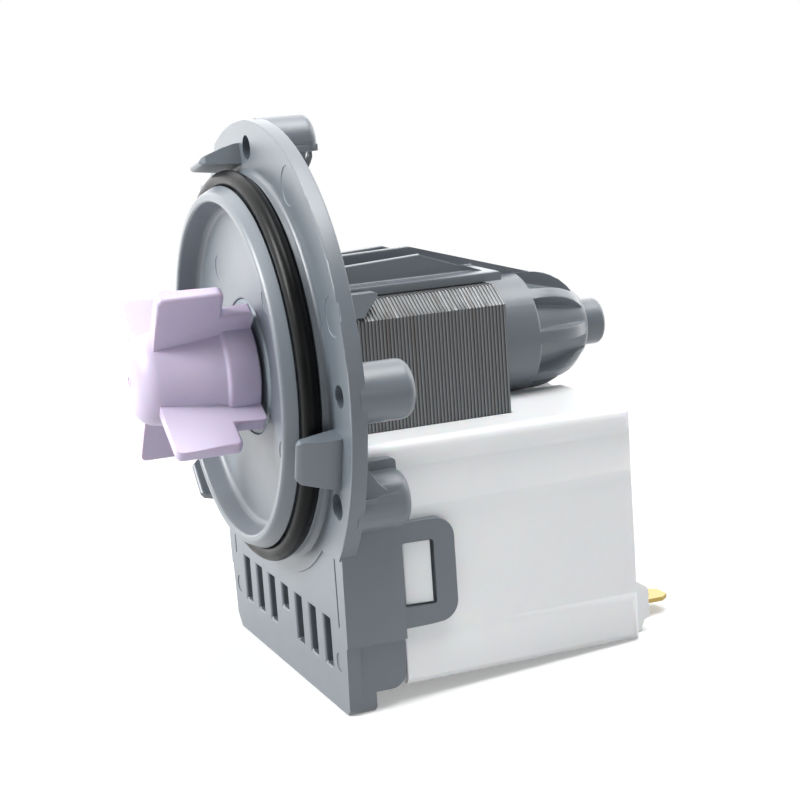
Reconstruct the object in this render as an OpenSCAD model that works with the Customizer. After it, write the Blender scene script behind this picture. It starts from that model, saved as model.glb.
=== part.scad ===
// Drain pump of a washing machine: a synchronous motor with a wet rotor in a
// moulded can, a four-vane impeller, and a flange that closes the pump chamber.
// Y is the rotor axis, with the impeller towards -Y, and Z is up. The origin is
// on the rotor axis, in the front face of the flange.

/* [Flange] */
// Width of the flange outside the circle of the screw holes
flange_edge = 4.8; // [4:0.1:9]
// Thickness of the flange
flange_t = 2.9; // [2.2:0.1:3.6]
// Distance from the spigot to the circle of the screw holes
screw_margin = 4.4; // [3.6:0.1:7]
// Radius of the three screw holes
screw_hole_r = 2.15; // [1.8:0.05:2.6]
// Radius of the extra screw hole at the side
side_hole_r = 1.9; // [1.6:0.05:2.4]
// Radius of the screw bosses behind the flange
boss_r = 5; // [4:0.1:5.6]
// Length of the screw bosses behind the flange
boss_len = 8.9; // [7.5:0.1:10.4]
// Reach of the bayonet tabs in front of the flange
tab_reach = 6.5; // [5:0.1:10]
// Width of a bayonet tab at its root
tab_w = 9.6; // [7:0.1:9.7]
// Radial thickness of a bayonet tab at its root
tab_t = 3.7; // [2.8:0.1:4.5]

/* [Pump cup] */
// Inner radius of the cup at its rim
cup_r = 29.7; // [24:0.1:36]
// Thickness of the cup's wall at the seal groove
cup_wall = 2; // [1.6:0.1:3]
// Height of the rim in front of the flange
rim_h = 7.3; // [6.6:0.1:9]
// Height of the cup's floor in front of the flange
floor_h = 3; // [2.6:0.1:3.2]
// Radius of the sealing ring's section
seal_section_r = 1.6; // [1.3:0.05:2]
// Height of the sealing ring over the spigot that carries it
seal_proud = 0.75; // [0.4:0.05:0.85]

/* [Rotor can] */
// Wall of the can that holds the rotor
can_wall = 1.1; // [0.8:0.1:1.6]
// Gap between the magnet and the can
rotor_gap = 0.7; // [0.4:0.1:1]
// Length of the plain can behind the stator core
can_tail = 11.7; // [10.5:0.1:15]
// Length of the ribbed cone
cone_len = 12.3; // [10:0.1:18]
// Radius of the cone between its ribs, at the small end
cone_end_r = 6.6; // [6:0.1:7.6]
// Number of ribs on the cone
cone_rib_n = 8; // [6:2:12]
// Thickness of a rib on the cone
cone_rib_t = 2.3; // [1.6:0.1:3]
// Radius of the nipple at the rear end
nipple_r = 4.4; // [3.6:0.1:5.4]
// Length of the nipple
nipple_len = 4.5; // [3:0.1:7]
// Height of the two rails over the core, above the rotor axis
rail_top_z = 17.4; // [15.5:0.1:20]

/* [Front plate] */
// Depth of the foot below the coil housing
foot_drop = 3.5; // [2.8:0.1:14]
// Thickness of the plate
plate_t = 2.4; // [1.8:0.1:2.8]
// Length of the side cheeks, from front to rear
cheek_len = 10.7; // [9:0.1:11]
// Number of slots in the vent
vent_n = 7; // [5:2:7]
// Distance from slot to slot
vent_pitch = 7.5; // [6:0.1:7.6]
// Width of a slot
vent_w = 3.5; // [2.2:0.1:4.2]

/* [Clips] */
// Length of a clip's loop behind the cheek
clip_len = 10; // [9:0.1:13]
// Height of a clip's loop
clip_h = 18.4; // [16:0.1:20]
// Width of the loop's rear bar
clip_bar = 4; // [3.2:0.1:4.4]
// Height of the loop's upper and lower bars
clip_arm = 3.5; // [3:0.1:4.2]
// Thickness of the loop
clip_t = 1.8; // [1.4:0.1:2.2]

/* [Impeller] */
// Radius over the vanes
impeller_r = 19.4; // [16:0.1:24]
// Radius of the hub at its nose
hub_r = 8.2; // [6.8:0.1:9.8]
// Growth of the hub's radius from its nose to the collar
hub_flare = 1.9; // [1:0.1:2.4]
// Thickness of a vane
vane_t = 2.5; // [1.8:0.1:3]
// Number of vanes
vane_n = 4; // [3:1:6]
// Length of a vane along the axis
vane_len = 11.8; // [9:0.1:12]
// Height of the collar over the rear of the hub
collar_step = 0.6; // [0.4:0.1:1]
// Free turn of the impeller on the rotor, in degrees
lash = 170; // [120:5:200]

/* [Rotor] */
// Radius of the shaft
shaft_r = 2; // [1.6:0.1:2.3]
// Radius of the magnet
magnet_r = 9.3; // [7.7:0.1:11.2]
// Outer radius of the bearing bushes
bush_r = 4; // [3.5:0.1:4.4]

/* [Stator] */
// Number of steel sheets in the core
sheet_n = 43; // [38:1:46]
// Thickness of one sheet
sheet_t = 0.65; // [0.5:0.05:0.7]
// Half of the core's width
core_half_w = 21.2; // [19:0.1:25.5]
// Half of the gap between the two coils
coil_gap_half = 0.45; // [0.3:0.05:0.6]
// Height of the legs above the rotor axis
leg_top_z = 11.8; // [11.4:0.1:12.4]
// Height of the yoke that joins the legs
yoke_h = 8.5; // [7:0.1:9]
// Thickness of a coil's winding on each side of its leg
winding_t = 4; // [3:0.1:4.2]

/* [Coil housing] */
// Distance from a coil to the outside of the housing
housing_side = 4.1; // [3.6:0.05:5]
// Depth of the housing's top below the rotor axis
housing_top = 10.6; // [10:0.1:10.8]
// Height of the housing
housing_h = 42.7; // [42.5:0.1:46]
// Room behind the coils, up to the housing's rear face
rear_room = 13.05; // [10.8:0.05:16]
// Thickness of the housing's top, floor and rear walls
housing_wall = 1.8; // [1.5:0.1:2]
// Width of a terminal blade
blade_w = 6.3; // [4.8:0.1:6.4]
// Thickness of a terminal blade
blade_t = 0.8; // [0.5:0.1:1]
// Distance between the two blades
blade_pitch = 36; // [20:0.5:38]

/* [Clearances] */
// Gap between two pieces that are seated in each other
seat_gap = 0.05; // [0.02:0.01:0.1]
// Radial gap between the shaft and what it turns in
run_gap = 0.05; // [0.02:0.01:0.1]
// Gap round a moving or loosely fitted piece
free_gap = 0.3; // [0.2:0.05:0.4]

/* [Hidden] */
$fn = 64;
eps = 0.01;

// Screw holes and tabs, as angles from +X towards +Z
screw_angles = [90, 210, 330];
side_hole_angle = 0;
tab_angles = [103, 223, 343];
hole_depth = 7.2;
screw_depth = 5.7;
top_boss_wall = 0.7;
notch_angle = 126;
notch_r = 12;
notch_depth = 2.8;
pin_mark_depth = 0.15;
boss_round = 1.7;

// Radii of the cup, the seal groove, the spigot and the flange, from the inside out
groove_r = cup_r + cup_wall;
spigot_r = groove_r + 2 * seal_section_r + seat_gap - seal_proud;
screw_circle_r = spigot_r + screw_margin;
flange_r = screw_circle_r + flange_edge;
can_bore_r = magnet_r + rotor_gap;
can_r = can_bore_r + can_wall;

// Along the axis, from the flange to the rear
core_y0 = flange_t + 7.45;
core_y1 = core_y0 + sheet_n * sheet_t;
can_end_y = core_y1 + can_tail;
cone_end_y = can_end_y + cone_len;
nipple_end_y = cone_end_y + nipple_len;
rail_end_y = core_y1 + 2.7;
seat_start_y = core_y1 + 3.3;
seat_len = 6;
seat_r = bush_r + 3;
pocket_r = shaft_r + 1.2;
pocket_end_y = seat_start_y + seat_len + 5;

// The carrier that closes the can
carrier_flange_r = can_r + 1;
carrier_front_y = -floor_h - 0.1;
carrier_step_y = -floor_h + 1.4;
carrier_end_y = core_y0 - 1.9;
lip_seat_r = shaft_r + 2.6;
lip_seat_end_y = carrier_step_y + 2;
mount_start_y = lip_seat_end_y + 0.8;
mount_wall = 2.4;
mount_r = bush_r + mount_wall;
carrier_seal_section_r = 0.85;
carrier_seal_y = carrier_step_y + 4.6;
bush_len = 6.4;

// The rotor
magnet_y0 = core_y0 + 0.3;
magnet_y1 = core_y1 - 0.3;
magnet_bore_r = 5;
core_plug_y0 = magnet_y0 - 0.9;
core_plug_y1 = magnet_y1 + 0.9;
washer_t = 0.7;
washer_r = shaft_r + 2.2;
shaft_rear_y = seat_start_y + seat_len + 2.5;

// The impeller, from its front to its rear
hub_len = 20.9;
hub_rear_y = -floor_h - 0.9;
hub_front_y = hub_rear_y - hub_len;
hub_round = 4;
vane_front_y = hub_front_y + 3.3;
hub_rear_r = hub_r + hub_flare;
collar_r = hub_rear_r + collar_step;
vane_angle = 54.5;
vane_rear_y = vane_front_y + vane_len;
collar_y = hub_rear_y - 6;
fin_r = collar_r + 3.6;
hollow_r = hub_r - 1.7;
hollow_front_y = hub_front_y + 5.6;
shaft_front_y = hub_front_y + 1.6;
cap_t = 2.2;
cap_rear_y = hub_rear_y - 0.4;
cap_front_y = cap_rear_y - cap_t;
dog_sleeve_r = shaft_r + 1.4;
lug_start_y = hollow_front_y + free_gap;
lug_end_y = cap_front_y - free_gap;
lug_rest_gap = 5;
lug_angle = (360 - lash - 2 * lug_rest_gap) / 2;

// The core and its coils
pole_r = can_r + free_gap;
core_bottom_z = -housing_top - housing_h + housing_wall + 0.5;
yoke_top_z = core_bottom_z + yoke_h;
chamfer_w = 4.3;
chamfer_h = 3.1;
groove_depth = 0.45;
groove_w = 0.27;
bobbin_wall = 1;
flange_rim = 0.5;
coil_reach = bobbin_wall + winding_t + flange_rim + seat_gap;
leg_gap_half = coil_reach + coil_gap_half;
coil_in_x = coil_gap_half;
coil_out_x = core_half_w + coil_reach;
coil_y0 = core_y0 - coil_reach;
coil_y1 = core_y1 + coil_reach;
coil_top_z = -max(housing_top + housing_wall + 0.4, can_r + 1.7);
coil_bottom_z = yoke_top_z + 0.2;
coil_flange_t = 1.2;

// The coil housing
housing_y0 = flange_t + 0.5;
housing_y1 = coil_y1 + rear_room;
housing_len = housing_y1 - housing_y0;
housing_half_w = coil_out_x + housing_side;
housing_top_z = -housing_top;
housing_bottom_z = -housing_top - housing_h;
side_inset = 0.6;
cavity_half_w = coil_out_x + 0.5;
cover_fit_x = cavity_half_w + 1.7;
cheek_end_y = cheek_len + 0.5;
block_half_w = housing_half_w - 3.4;
block_len = 3.6;
blade_z = housing_bottom_z + 2.8;
blade_end_y = housing_y1 + block_len + 8;
blade_start_y = housing_y1 - housing_wall - 7.3;

// The front plate, the cheeks and the clips
plate_y0 = 0.3;
plate_top_z = -29;
low_disc_r = spigot_r + 3.3;
plate_top_w = housing_half_w + 2.1;
plate_foot_w = housing_half_w + 0.4;
foot_z = housing_bottom_z - foot_drop;
foot_h = 3.5;
foot_len = 5.2;
ledge_z = foot_z + 12.4;
ledge_step = 1.1;
vent_top_z = -low_disc_r - 3.6;
vent_h = vent_top_z - foot_z - foot_h - 3.5;
cheek_top_z = -24.3;
web_x0 = housing_half_w + 0.25;
clip_x0 = housing_half_w - side_inset + 0.25;
clip_y1 = cheek_end_y + clip_len;
clip_z0 = cheek_top_z - clip_h;
catch_h = clip_h - 2 * clip_arm - 0.4;
rail_x = 10;
rail_t = 1.6;
roof_half_w = 14;
roof_t = 1.6;
roof_z = leg_top_z + 0.2;

// Solid that children() sketch in X and Z, from y0 to y1
module xz(y0, y1) {
    translate([0, y1, 0])
        rotate([90, 0, 0])
            linear_extrude(height = y1 - y0)
                children();
}

// Solid that children() sketch in Y and Z, from x0 to x1
module yz(x0, x1) {
    translate([x0, 0, 0])
        rotate([90, 0, 90])
            linear_extrude(height = x1 - x0)
                children();
}

// Solid that children() sketch in X and Y, from z0 to z1
module xy(z0, z1) {
    translate([0, 0, z0])
        linear_extrude(height = z1 - z0)
            children();
}

// Turned solid that children() sketch in radius and Y
module turned() {
    rotate([-90, 0, 0])
        rotate_extrude()
            children();
}

// Round bar along Y
module bar(r, y0, y1) {
    translate([0, y0, 0])
        rotate([-90, 0, 0])
            cylinder(r = r, h = y1 - y0);
}

// Sleeve along Y
module sleeve(r_out, r_in, y0, y1) {
    difference() {
        bar(r_out, y0, y1);
        bar(r_in, y0 - 1, y1 + 1);
    }
}

// Turns children() about the rotor axis, from +X towards +Z
module at_angle(a) {
    rotate([0, -a, 0])
        children();
}

// Sketch of a rectangle with round corners
module round_rect(a0, b0, a1, b1, r) {
    translate([a0 + r, b0])
        square([a1 - a0 - 2 * r, b1 - b0]);
    translate([a0, b0 + r])
        square([a1 - a0, b1 - b0 - 2 * r]);
    for (a = [a0 + r, a1 - r], b = [b0 + r, b1 - r])
        translate([a, b])
            circle(r = r);
}

// Points of a quarter arc about (ca, cb), from angle s to angle e
function arc(ca, cb, r, s, e, n = 5) =
    [for (i = [0:n]) [ca + r * cos(s + (e - s) * i / n), cb + r * sin(s + (e - s) * i / n)]];

// Point of a sector at angle a from +Z towards +X
function ray(r, a) = [r * sin(a), r * cos(a)];

// Sector from angle a0 to a1, measured from +Z towards +X
module sector(r_out, r_in, a0, a1) {
    steps = 6;
    difference() {
        intersection() {
            circle(r = r_out);
            polygon(concat([[0, 0]],
                [for (i = [0:steps]) ray(2 * r_out, a0 + (a1 - a0) * i / steps)]));
        }
        circle(r = r_in);
    }
}

// Turned body of the cover: the cup, the seal groove, the can and its cone
module cover_turning() {
    turned()
        polygon(concat(
            [[0, -floor_h], [cup_r - 1.6, -floor_h], [cup_r - 0.9, -floor_h - 0.7],
             [cup_r, -rim_h + 0.3], [cup_r + 0.3, -rim_h], [cup_r + 1.3, -rim_h],
             [cup_r + 1.8, -rim_h + 0.6], [groove_r + 0.7, groove_y0],
             [groove_r, groove_y0], [groove_r, groove_y1], [spigot_r, groove_y1],
             [spigot_r, -0.5], [spigot_r + 0.9, 0], [spigot_r + 0.9, flange_t],
             [cup_r - 2.4, flange_t], [cup_r - 2.4, -floor_h + 2.4],
             [can_r + 3, -floor_h + 2.4], [can_r + 3, flange_t - 1], [can_r + 2, flange_t],
             [can_r, flange_t], [can_r, can_end_y - 0.4], [can_r - 0.4, can_end_y],
             [can_r - 1.9, can_end_y], [cone_end_r, cone_end_y - 1.6]],
            arc(cone_end_r - 1.6, cone_end_y - 1.6, 1.6, 0, 90, 4),
            [[nipple_r, cone_end_y], [nipple_r, nipple_end_y - 0.9]],
            arc(nipple_r - 0.9, nipple_end_y - 0.9, 0.9, 0, 90, 4),
            [[0, nipple_end_y]]));
}
groove_y1 = -1.6;
groove_y0 = groove_y1 - 2 * seal_section_r - 2 * seat_gap;

// Envelope that the cone's ribs fill, rounded towards the nipple
module cone_envelope() {
    n = 8;
    turned()
        polygon(concat([[0, can_end_y - 1]], [[can_r, can_end_y - 1]],
            [for (i = [0:n])
                let (t = i / n)
                [can_r - (can_r - cone_end_r + 0.6) * pow(t, 3), can_end_y + t * (cone_len - 0.6)]],
            [[0, cone_end_y - 0.6]]));
}

// Ribs of the cone, each a plate through the axis
module cone_ribs() {
    intersection() {
        cone_envelope();
        for (i = [0:cone_rib_n / 2 - 1])
            at_angle(i * 360 / cone_rib_n)
                translate([-can_r - 1, can_end_y - 1, -cone_rib_t / 2])
                    cube([2 * can_r + 2, cone_len + 1, cone_rib_t]);
    }
}

// Bores of the can: carrier seat, rotor bore, rear bearing seat and shaft pocket
module can_bores() {
    turned()
        polygon([[0, -floor_h - 1], [carrier_flange_r + seat_gap, -floor_h - 1],
            [carrier_flange_r + seat_gap, carrier_step_y], [can_bore_r, carrier_step_y],
            [can_bore_r, seat_start_y], [seat_r, seat_start_y],
            [seat_r, seat_start_y + seat_len], [pocket_r, seat_start_y + seat_len],
            [pocket_r, pocket_end_y], [0, pocket_end_y]]);
}

// Outline of the flange: a disc that stops where the front plate starts
module flange_outline() {
    intersection() {
        circle(r = flange_r);
        translate([-flange_r - 1, plate_top_z])
            square([2 * flange_r + 2, 2 * flange_r]);
    }
    circle(r = low_disc_r);
}

// Notch in the flange's edge
module notch() {
    at_angle(notch_angle)
        translate([flange_r - notch_depth + notch_r, 0, 0])
            bar(notch_r, -1, flange_t + 1);
}

// Round marks of the tool's ejector pins, on the flange and on the cup's floor
module pin_marks() {
    for (spot = [[21, 33], [38.1, 13], [-32.5, 23]])
        translate([spot[0], 0, spot[1]])
            bar(3.4, -1, pin_mark_depth);
    for (spot = [[-13, 16.5], [13.4, 13.4], [16.5, -13], [-13.4, -13.4]])
        translate([spot[0], 0, spot[1]])
            bar(2.3, -floor_h - 1, -floor_h + pin_mark_depth);
    for (x = [2.7 - housing_half_w, housing_half_w - 2.7])
        translate([x, 0, foot_z + 9])
            bar(1.7, -1, plate_y0 + pin_mark_depth);
}

module flange_disc() {
    difference() {
        xz(0, flange_t)
            flange_outline();
        bar(spigot_r - 1, -1, flange_t + 1);
        notch();
    }
}

// Blind boss with a rounded end
module boss() {
    turned()
        polygon(concat([[0, flange_t - 1], [boss_r, flange_t - 1],
            [boss_r, flange_t + boss_len - boss_round]],
            arc(boss_r - boss_round, flange_t + boss_len - boss_round, boss_round, 0, 90, 4),
            [[0, flange_t + boss_len]]));
}

// The top boss is cut away under its ledge, where the pierced gusset stands
module bosses() {
    difference() {
        for (a = concat(screw_angles, [side_hole_angle]))
            at_angle(a)
                translate([screw_circle_r, 0, 0])
                    boss();
        translate([-boss_r - 1, flange_t + screw_depth + top_boss_wall, screw_circle_r - boss_r - 1])
            cube([2 * boss_r + 2, boss_len, boss_r]);
    }
}

module screw_holes() {
    for (a = screw_angles)
        at_angle(a)
            translate([screw_circle_r, 0, 0])
                bar(screw_hole_r, -1, flange_t + screw_depth);
    at_angle(side_hole_angle)
        translate([screw_circle_r, 0, 0])
            bar(side_hole_r, -1, flange_t + hole_depth);
}

// Bayonet tab: a wedge whose outer face slopes down to the tip
module tab() {
    half = tab_w / 2;
    r_in = spigot_r + 1.3;
    r_out = r_in + tab_t;
    intersection() {
        yz(r_in, r_out)
            polygon([[1, -half], [0, -half], [-tab_reach + 1, -half + 1.2],
                [-tab_reach, -half + 2.2], [-tab_reach, half - 1.4], [-tab_reach + 0.8, half - 0.7],
                [0, half], [1, half]]);
        xy(-half, half)
            polygon([[r_in, 1], [r_out, 1], [r_out, -1], [r_out - 0.5, -2.6],
                [r_in + 1.6, -tab_reach + 1], [r_in + 1.1, -tab_reach + 0.3],
                [r_in + 0.5, -tab_reach], [r_in, -tab_reach + 0.4]]);
    }
}

module tabs() {
    for (a = tab_angles)
        at_angle(a)
            tab();
}

// Ledge and pierced gusset under the top boss
module top_boss_web() {
    ledge_top_z = screw_circle_r - 0.2;
    ledge_end_y = flange_t + boss_len - 0.1;
    xy(ledge_top_z - 1.2, ledge_top_z)
        polygon([[-6.5, flange_t - 1], [6.5, flange_t - 1], [6.5, flange_t + 2.5],
            [4.3, ledge_end_y], [-4.3, ledge_end_y], [-6.5, flange_t + 2.5]]);
    difference() {
        yz(-0.1, 1.1)
            polygon([[flange_t - 1, ledge_top_z - 0.5], [ledge_end_y, ledge_top_z - 0.5],
                [ledge_end_y, ledge_top_z - 2.6], [ledge_end_y - 0.7, ledge_top_z - 4.2],
                [ledge_end_y - 2.2, ledge_top_z - 6.4], [flange_t + 1, ledge_top_z - 12],
                [flange_t - 1, ledge_top_z - 12]]);
        translate([-1, ledge_end_y - 1.3, ledge_top_z - 2])
            rotate([0, 90, 0])
                cylinder(r = 0.7, h = 3);
    }
}

// Roof over the core, with two rails and a middle rib that runs down to the can
module saddle() {
    xz(flange_t - 1, rail_end_y) {
        translate([-roof_half_w, roof_z])
            square([2 * roof_half_w, roof_t]);
        translate([-leg_gap_half + free_gap, can_r - 2])
            square([2 * (leg_gap_half - free_gap), roof_z - can_r + 2.5]);
    }
    for (x = [-rail_x, rail_x - rail_t])
        yz(x, x + rail_t)
            polygon([[flange_t - 1, roof_z + 0.5], [flange_t - 1, rail_top_z - 0.9],
                [core_y0 + 17, rail_top_z + 0.3], [rail_end_y, roof_z + 0.9],
                [rail_end_y, roof_z + 0.5]]);
    yz(-rail_t / 2, rail_t / 2)
        polygon([[flange_t - 1, roof_z + 0.5], [flange_t - 1, rail_top_z + 0.2],
            [core_y0 + 18.5, rail_top_z + 0.8], [can_end_y + 2.8, can_r - 0.1],
            [can_end_y - 1, can_r - 2], [rail_end_y - 1, can_r - 2],
            [rail_end_y - 1, roof_z + 0.5]]);
}

// Lug that steadies a corner of the core
module corner_lug() {
    intersection() {
        xz(flange_t - 1, core_y0 + 4.5)
            polygon([[core_half_w - chamfer_w + 0.3, leg_top_z + 0.15],
                [core_half_w - chamfer_w + 0.3, leg_top_z + 1.6],
                [core_half_w - 1, leg_top_z + 1.6], [core_half_w + 0.4, leg_top_z - 2.3],
                [core_half_w - 0.6, leg_top_z - 2.3]]);
        yz(0, core_half_w + 5)
            polygon([[flange_t - 1, leg_top_z - 4], [core_y0 + 0.6, leg_top_z - 4],
                [core_y0 + 2.2, leg_top_z - 1.4], [core_y0 + 4.5, leg_top_z + 0.7],
                [core_y0 + 4.5, leg_top_z + 1.8], [flange_t - 1, leg_top_z + 1.8]]);
    }
}

// Ribs in the hollow behind the cup's floor
module back_ribs() {
    difference() {
        for (i = [0:3])
            at_angle(22.5 + 45 * i)
                translate([-cup_r, -floor_h + 1, -0.8])
                    cube([2 * cup_r, floor_h + flange_t - 2, 1.6]);
        bar(can_r + 1, -floor_h, flange_t + 1);
    }
}

// Outline of the front plate, narrower towards the foot
module plate_outline() {
    r = 2.5;
    difference() {
        polygon([[-plate_top_w, plate_top_z], [-plate_foot_w, foot_z + r],
            [-plate_foot_w + r, foot_z], [plate_foot_w - 1, foot_z],
            [plate_foot_w, foot_z + 1], [plate_top_w, plate_top_z], [plate_top_w, cheek_top_z],
            [-plate_top_w, cheek_top_z]]);
        vents();
    }
}

// Vent slots; the middle one is short
module vents() {
    mid = (vent_n - 1) / 2;
    for (i = [0:vent_n - 1])
        let (h = (i == mid) ? vent_h / 2 : vent_h)
            translate([(i - mid) * vent_pitch - vent_w / 2, vent_top_z - h])
                square([vent_w, h]);
    for (x = [-1, 1])
        translate([x * (housing_half_w - 1.3) - 0.8, vent_top_z - 0.4])
            square([1.6, 12.5]);
}

// Side cheek: the lower half steps in at a ledge
module cheek() {
    inner = cover_fit_x + 0.2;
    intersection() {
        xz(plate_y0, cheek_end_y)
            polygon([[inner, cheek_top_z], [plate_top_w, cheek_top_z],
                [plate_top_w - 0.5, ledge_z], [plate_top_w - 0.5 - ledge_step, ledge_z],
                [plate_foot_w, housing_bottom_z], [inner, housing_bottom_z]]);
        yz(0, 2 * plate_top_w)
            round_rect(plate_y0 - 6, housing_bottom_z, cheek_end_y, cheek_top_z + 6, 3);
    }
}

// Spring clip: a flat loop that snaps over a catch on the coil housing
module clip() {
    yz(clip_x0, clip_x0 + clip_t)
        difference() {
            round_rect(cheek_end_y - 6, clip_z0, clip_y1, cheek_top_z, 3.6);
            round_rect(cheek_end_y + 0.1, clip_z0 + clip_arm, clip_y1 - clip_bar,
                cheek_top_z - clip_arm, 0.6);
            translate([cheek_end_y - 7, clip_z0 - 1])
                square([5, clip_h + 2]);
        }
}

// Small stop that locates the top of the coil housing
module side_stop() {
    yz(web_x0, web_x0 + 2)
        round_rect(flange_t - 1, -17, flange_t + 8.1, -12.6, 0.8);
}

// Web from the lower boss to the cheek
module boss_web() {
    yz(web_x0 + 0.2, web_x0 + 1.7)
        polygon([[flange_t - 1, cheek_top_z - 2], [cheek_end_y, cheek_top_z - 1],
            [cheek_end_y - 1, -20], [flange_t - 1, -20]]);
    gusset_x = screw_circle_r * cos(30) + 3.3;
    gusset_z = -screw_circle_r / 2 + 1.6;
    yz(gusset_x, gusset_x + 1.1)
        polygon([[flange_t - 1, gusset_z + 8], [flange_t + 0.4, gusset_z + 7],
            [flange_t + 1.6, gusset_z + 4.6], [flange_t + 3.2, gusset_z + 2.4],
            [flange_t + 5.4, gusset_z + 0.3], [flange_t + 4.4, gusset_z - 0.6],
            [flange_t - 1, gusset_z - 0.6]]);
    xy(gusset_z - 0.8, gusset_z + 0.2)
        polygon([[gusset_x - 1, flange_t - 1], [gusset_x + 2.2, flange_t - 1],
            [gusset_x + 2, flange_t + 1.4], [gusset_x + 1, flange_t + 5.2],
            [gusset_x - 1, flange_t + 5.2]]);
}

module cover_side() {
    cheek();
    clip();
    side_stop();
    boss_web();
    corner_lug();
}

module pump_cover() {
    color("#8b979e")
        difference() {
            union() {
                cover_turning();
                cone_ribs();
                flange_disc();
                bosses();
                tabs();
                top_boss_web();
                saddle();
                back_ribs();
                xz(plate_y0, plate_y0 + plate_t)
                    difference() {
                        plate_outline();
                        circle(r = spigot_r - 1);
                    }
                xz(plate_y0, plate_y0 + foot_len)
                    polygon([[-plate_foot_w + 2.5, foot_z], [plate_foot_w - 1, foot_z],
                        [plate_foot_w, foot_z + 1], [plate_foot_w, foot_z + foot_h],
                        [-plate_foot_w, foot_z + foot_h], [-plate_foot_w, foot_z + 2.5]]);
                cover_side();
                mirror([1, 0, 0])
                    cover_side();
            }
            can_bores();
            screw_holes();
            pin_marks();
        }
}

module seal_ring() {
    color("#1b1b1d")
        turned()
            translate([groove_r + seal_section_r + seat_gap, (groove_y0 + groove_y1) / 2])
                circle(r = seal_section_r);
}

module bearing_carrier() {
    plug_r = can_bore_r - seat_gap;
    ring_half = carrier_seal_section_r + seat_gap;
    ring_floor = plug_r - 2 * carrier_seal_section_r;
    color("#7f8a91")
        difference() {
            turned()
                polygon([[shaft_r + 0.7, carrier_front_y], [carrier_flange_r - 0.5, carrier_front_y],
                    [carrier_flange_r, carrier_front_y + 0.4], [carrier_flange_r, carrier_step_y],
                    [plug_r, carrier_step_y], [plug_r, carrier_seal_y - ring_half],
                    [ring_floor, carrier_seal_y - ring_half],
                    [ring_floor, carrier_seal_y + ring_half],
                    [plug_r, carrier_seal_y + ring_half], [plug_r, carrier_end_y],
                    [shaft_r + 0.7, carrier_end_y]]);
            bar(lip_seat_r, carrier_front_y - 1, lip_seat_end_y);
            bar(mount_r, mount_start_y, carrier_end_y + 1);
        }
}

module carrier_seal() {
    color("#1b1b1d")
        turned()
            translate([can_bore_r - seat_gap - carrier_seal_section_r, carrier_seal_y])
                circle(r = carrier_seal_section_r - seat_gap);
}

module shaft_lip_seal() {
    r_in = shaft_r + run_gap;
    color("#232326")
        turned()
            polygon([[r_in, carrier_front_y + 0.2], [r_in + 0.7, carrier_front_y - 0.2],
                [r_in + 1, carrier_front_y + 0.5], [lip_seat_r - seat_gap, carrier_front_y + 0.5],
                [lip_seat_r - seat_gap, lip_seat_end_y - seat_gap],
                [r_in + 0.6, lip_seat_end_y - seat_gap], [r_in + 0.6, carrier_front_y + 1.6],
                [r_in, carrier_front_y + 1.2]]);
}

module front_bush_mount() {
    color("#2a2a2d")
        sleeve(mount_r - seat_gap, bush_r + seat_gap, mount_start_y + seat_gap,
            mount_start_y + bush_len);
}

module front_bush() {
    color("#4a4643")
        sleeve(bush_r, shaft_r + run_gap, mount_start_y + 0.2, mount_start_y + bush_len + 0.2);
}

module rear_bush_mount() {
    color("#2a2a2d")
        sleeve(seat_r - seat_gap, bush_r + seat_gap, seat_start_y, seat_start_y + seat_len - seat_gap);
}

module rear_bush() {
    color("#4a4643")
        sleeve(bush_r, shaft_r + run_gap, seat_start_y - 0.4, seat_start_y + seat_len - 0.3);
}

// Hub of the impeller, with a rounded nose and a collar at the rear
module impeller_hub() {
    turned()
        polygon(concat([[0, hub_front_y], [hub_r - hub_round, hub_front_y + 0.25]],
            arc(hub_r - hub_round, hub_front_y + 0.25 + hub_round, hub_round, -80, -5, 5),
            [[hub_rear_r, collar_y], [collar_r - 0.2, collar_y + 0.3], [collar_r, collar_y + 0.8],
             [collar_r, hub_rear_y - 0.4], [collar_r - 0.4, hub_rear_y], [0, hub_rear_y]]));
}

module vanes() {
    for (i = [0:vane_n - 1])
        at_angle(vane_angle - i * 360 / vane_n) {
            xy(-vane_t / 2, vane_t / 2) {
                round_rect(-3, vane_front_y, impeller_r, vane_rear_y, 1.2);
                round_rect(-3, vane_rear_y - 4, fin_r, hub_rear_y - 0.2, 0.6);
            }
        }
}

module impeller() {
    color("#d3c6e2") {
        difference() {
            union() {
                impeller_hub();
                vanes();
            }
            bar(hollow_r, hollow_front_y, hub_rear_y + 1);
            bar(shaft_r + run_gap, shaft_front_y - 0.4, hollow_front_y + 1);
        }
        xz(hollow_front_y - 0.5, lug_end_y)
            sector(hollow_r + 0.5, dog_sleeve_r + free_gap, lug_angle / 2 + lug_rest_gap,
                lug_angle * 1.5 + lug_rest_gap);
    }
}

module impeller_hub_cap() {
    color("#c9bbd9")
        sleeve(hollow_r - seat_gap, shaft_r + free_gap, cap_front_y, cap_rear_y);
}

module drive_dog() {
    color("#e4e1da")
        difference() {
            xz(lug_start_y, lug_end_y)
                union() {
                    circle(r = dog_sleeve_r);
                    sector(hollow_r - free_gap, 1, -lug_angle / 2, lug_angle / 2);
                }
            bar(shaft_r + seat_gap / 2, lug_start_y - 1, lug_end_y + 1);
        }
}

module rotor_shaft() {
    color("#c3c6c8")
        turned()
            polygon([[0, shaft_front_y], [shaft_r - 0.3, shaft_front_y],
                [shaft_r, shaft_front_y + 0.3], [shaft_r, shaft_rear_y - 0.3],
                [shaft_r - 0.3, shaft_rear_y], [0, shaft_rear_y]]);
}

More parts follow.
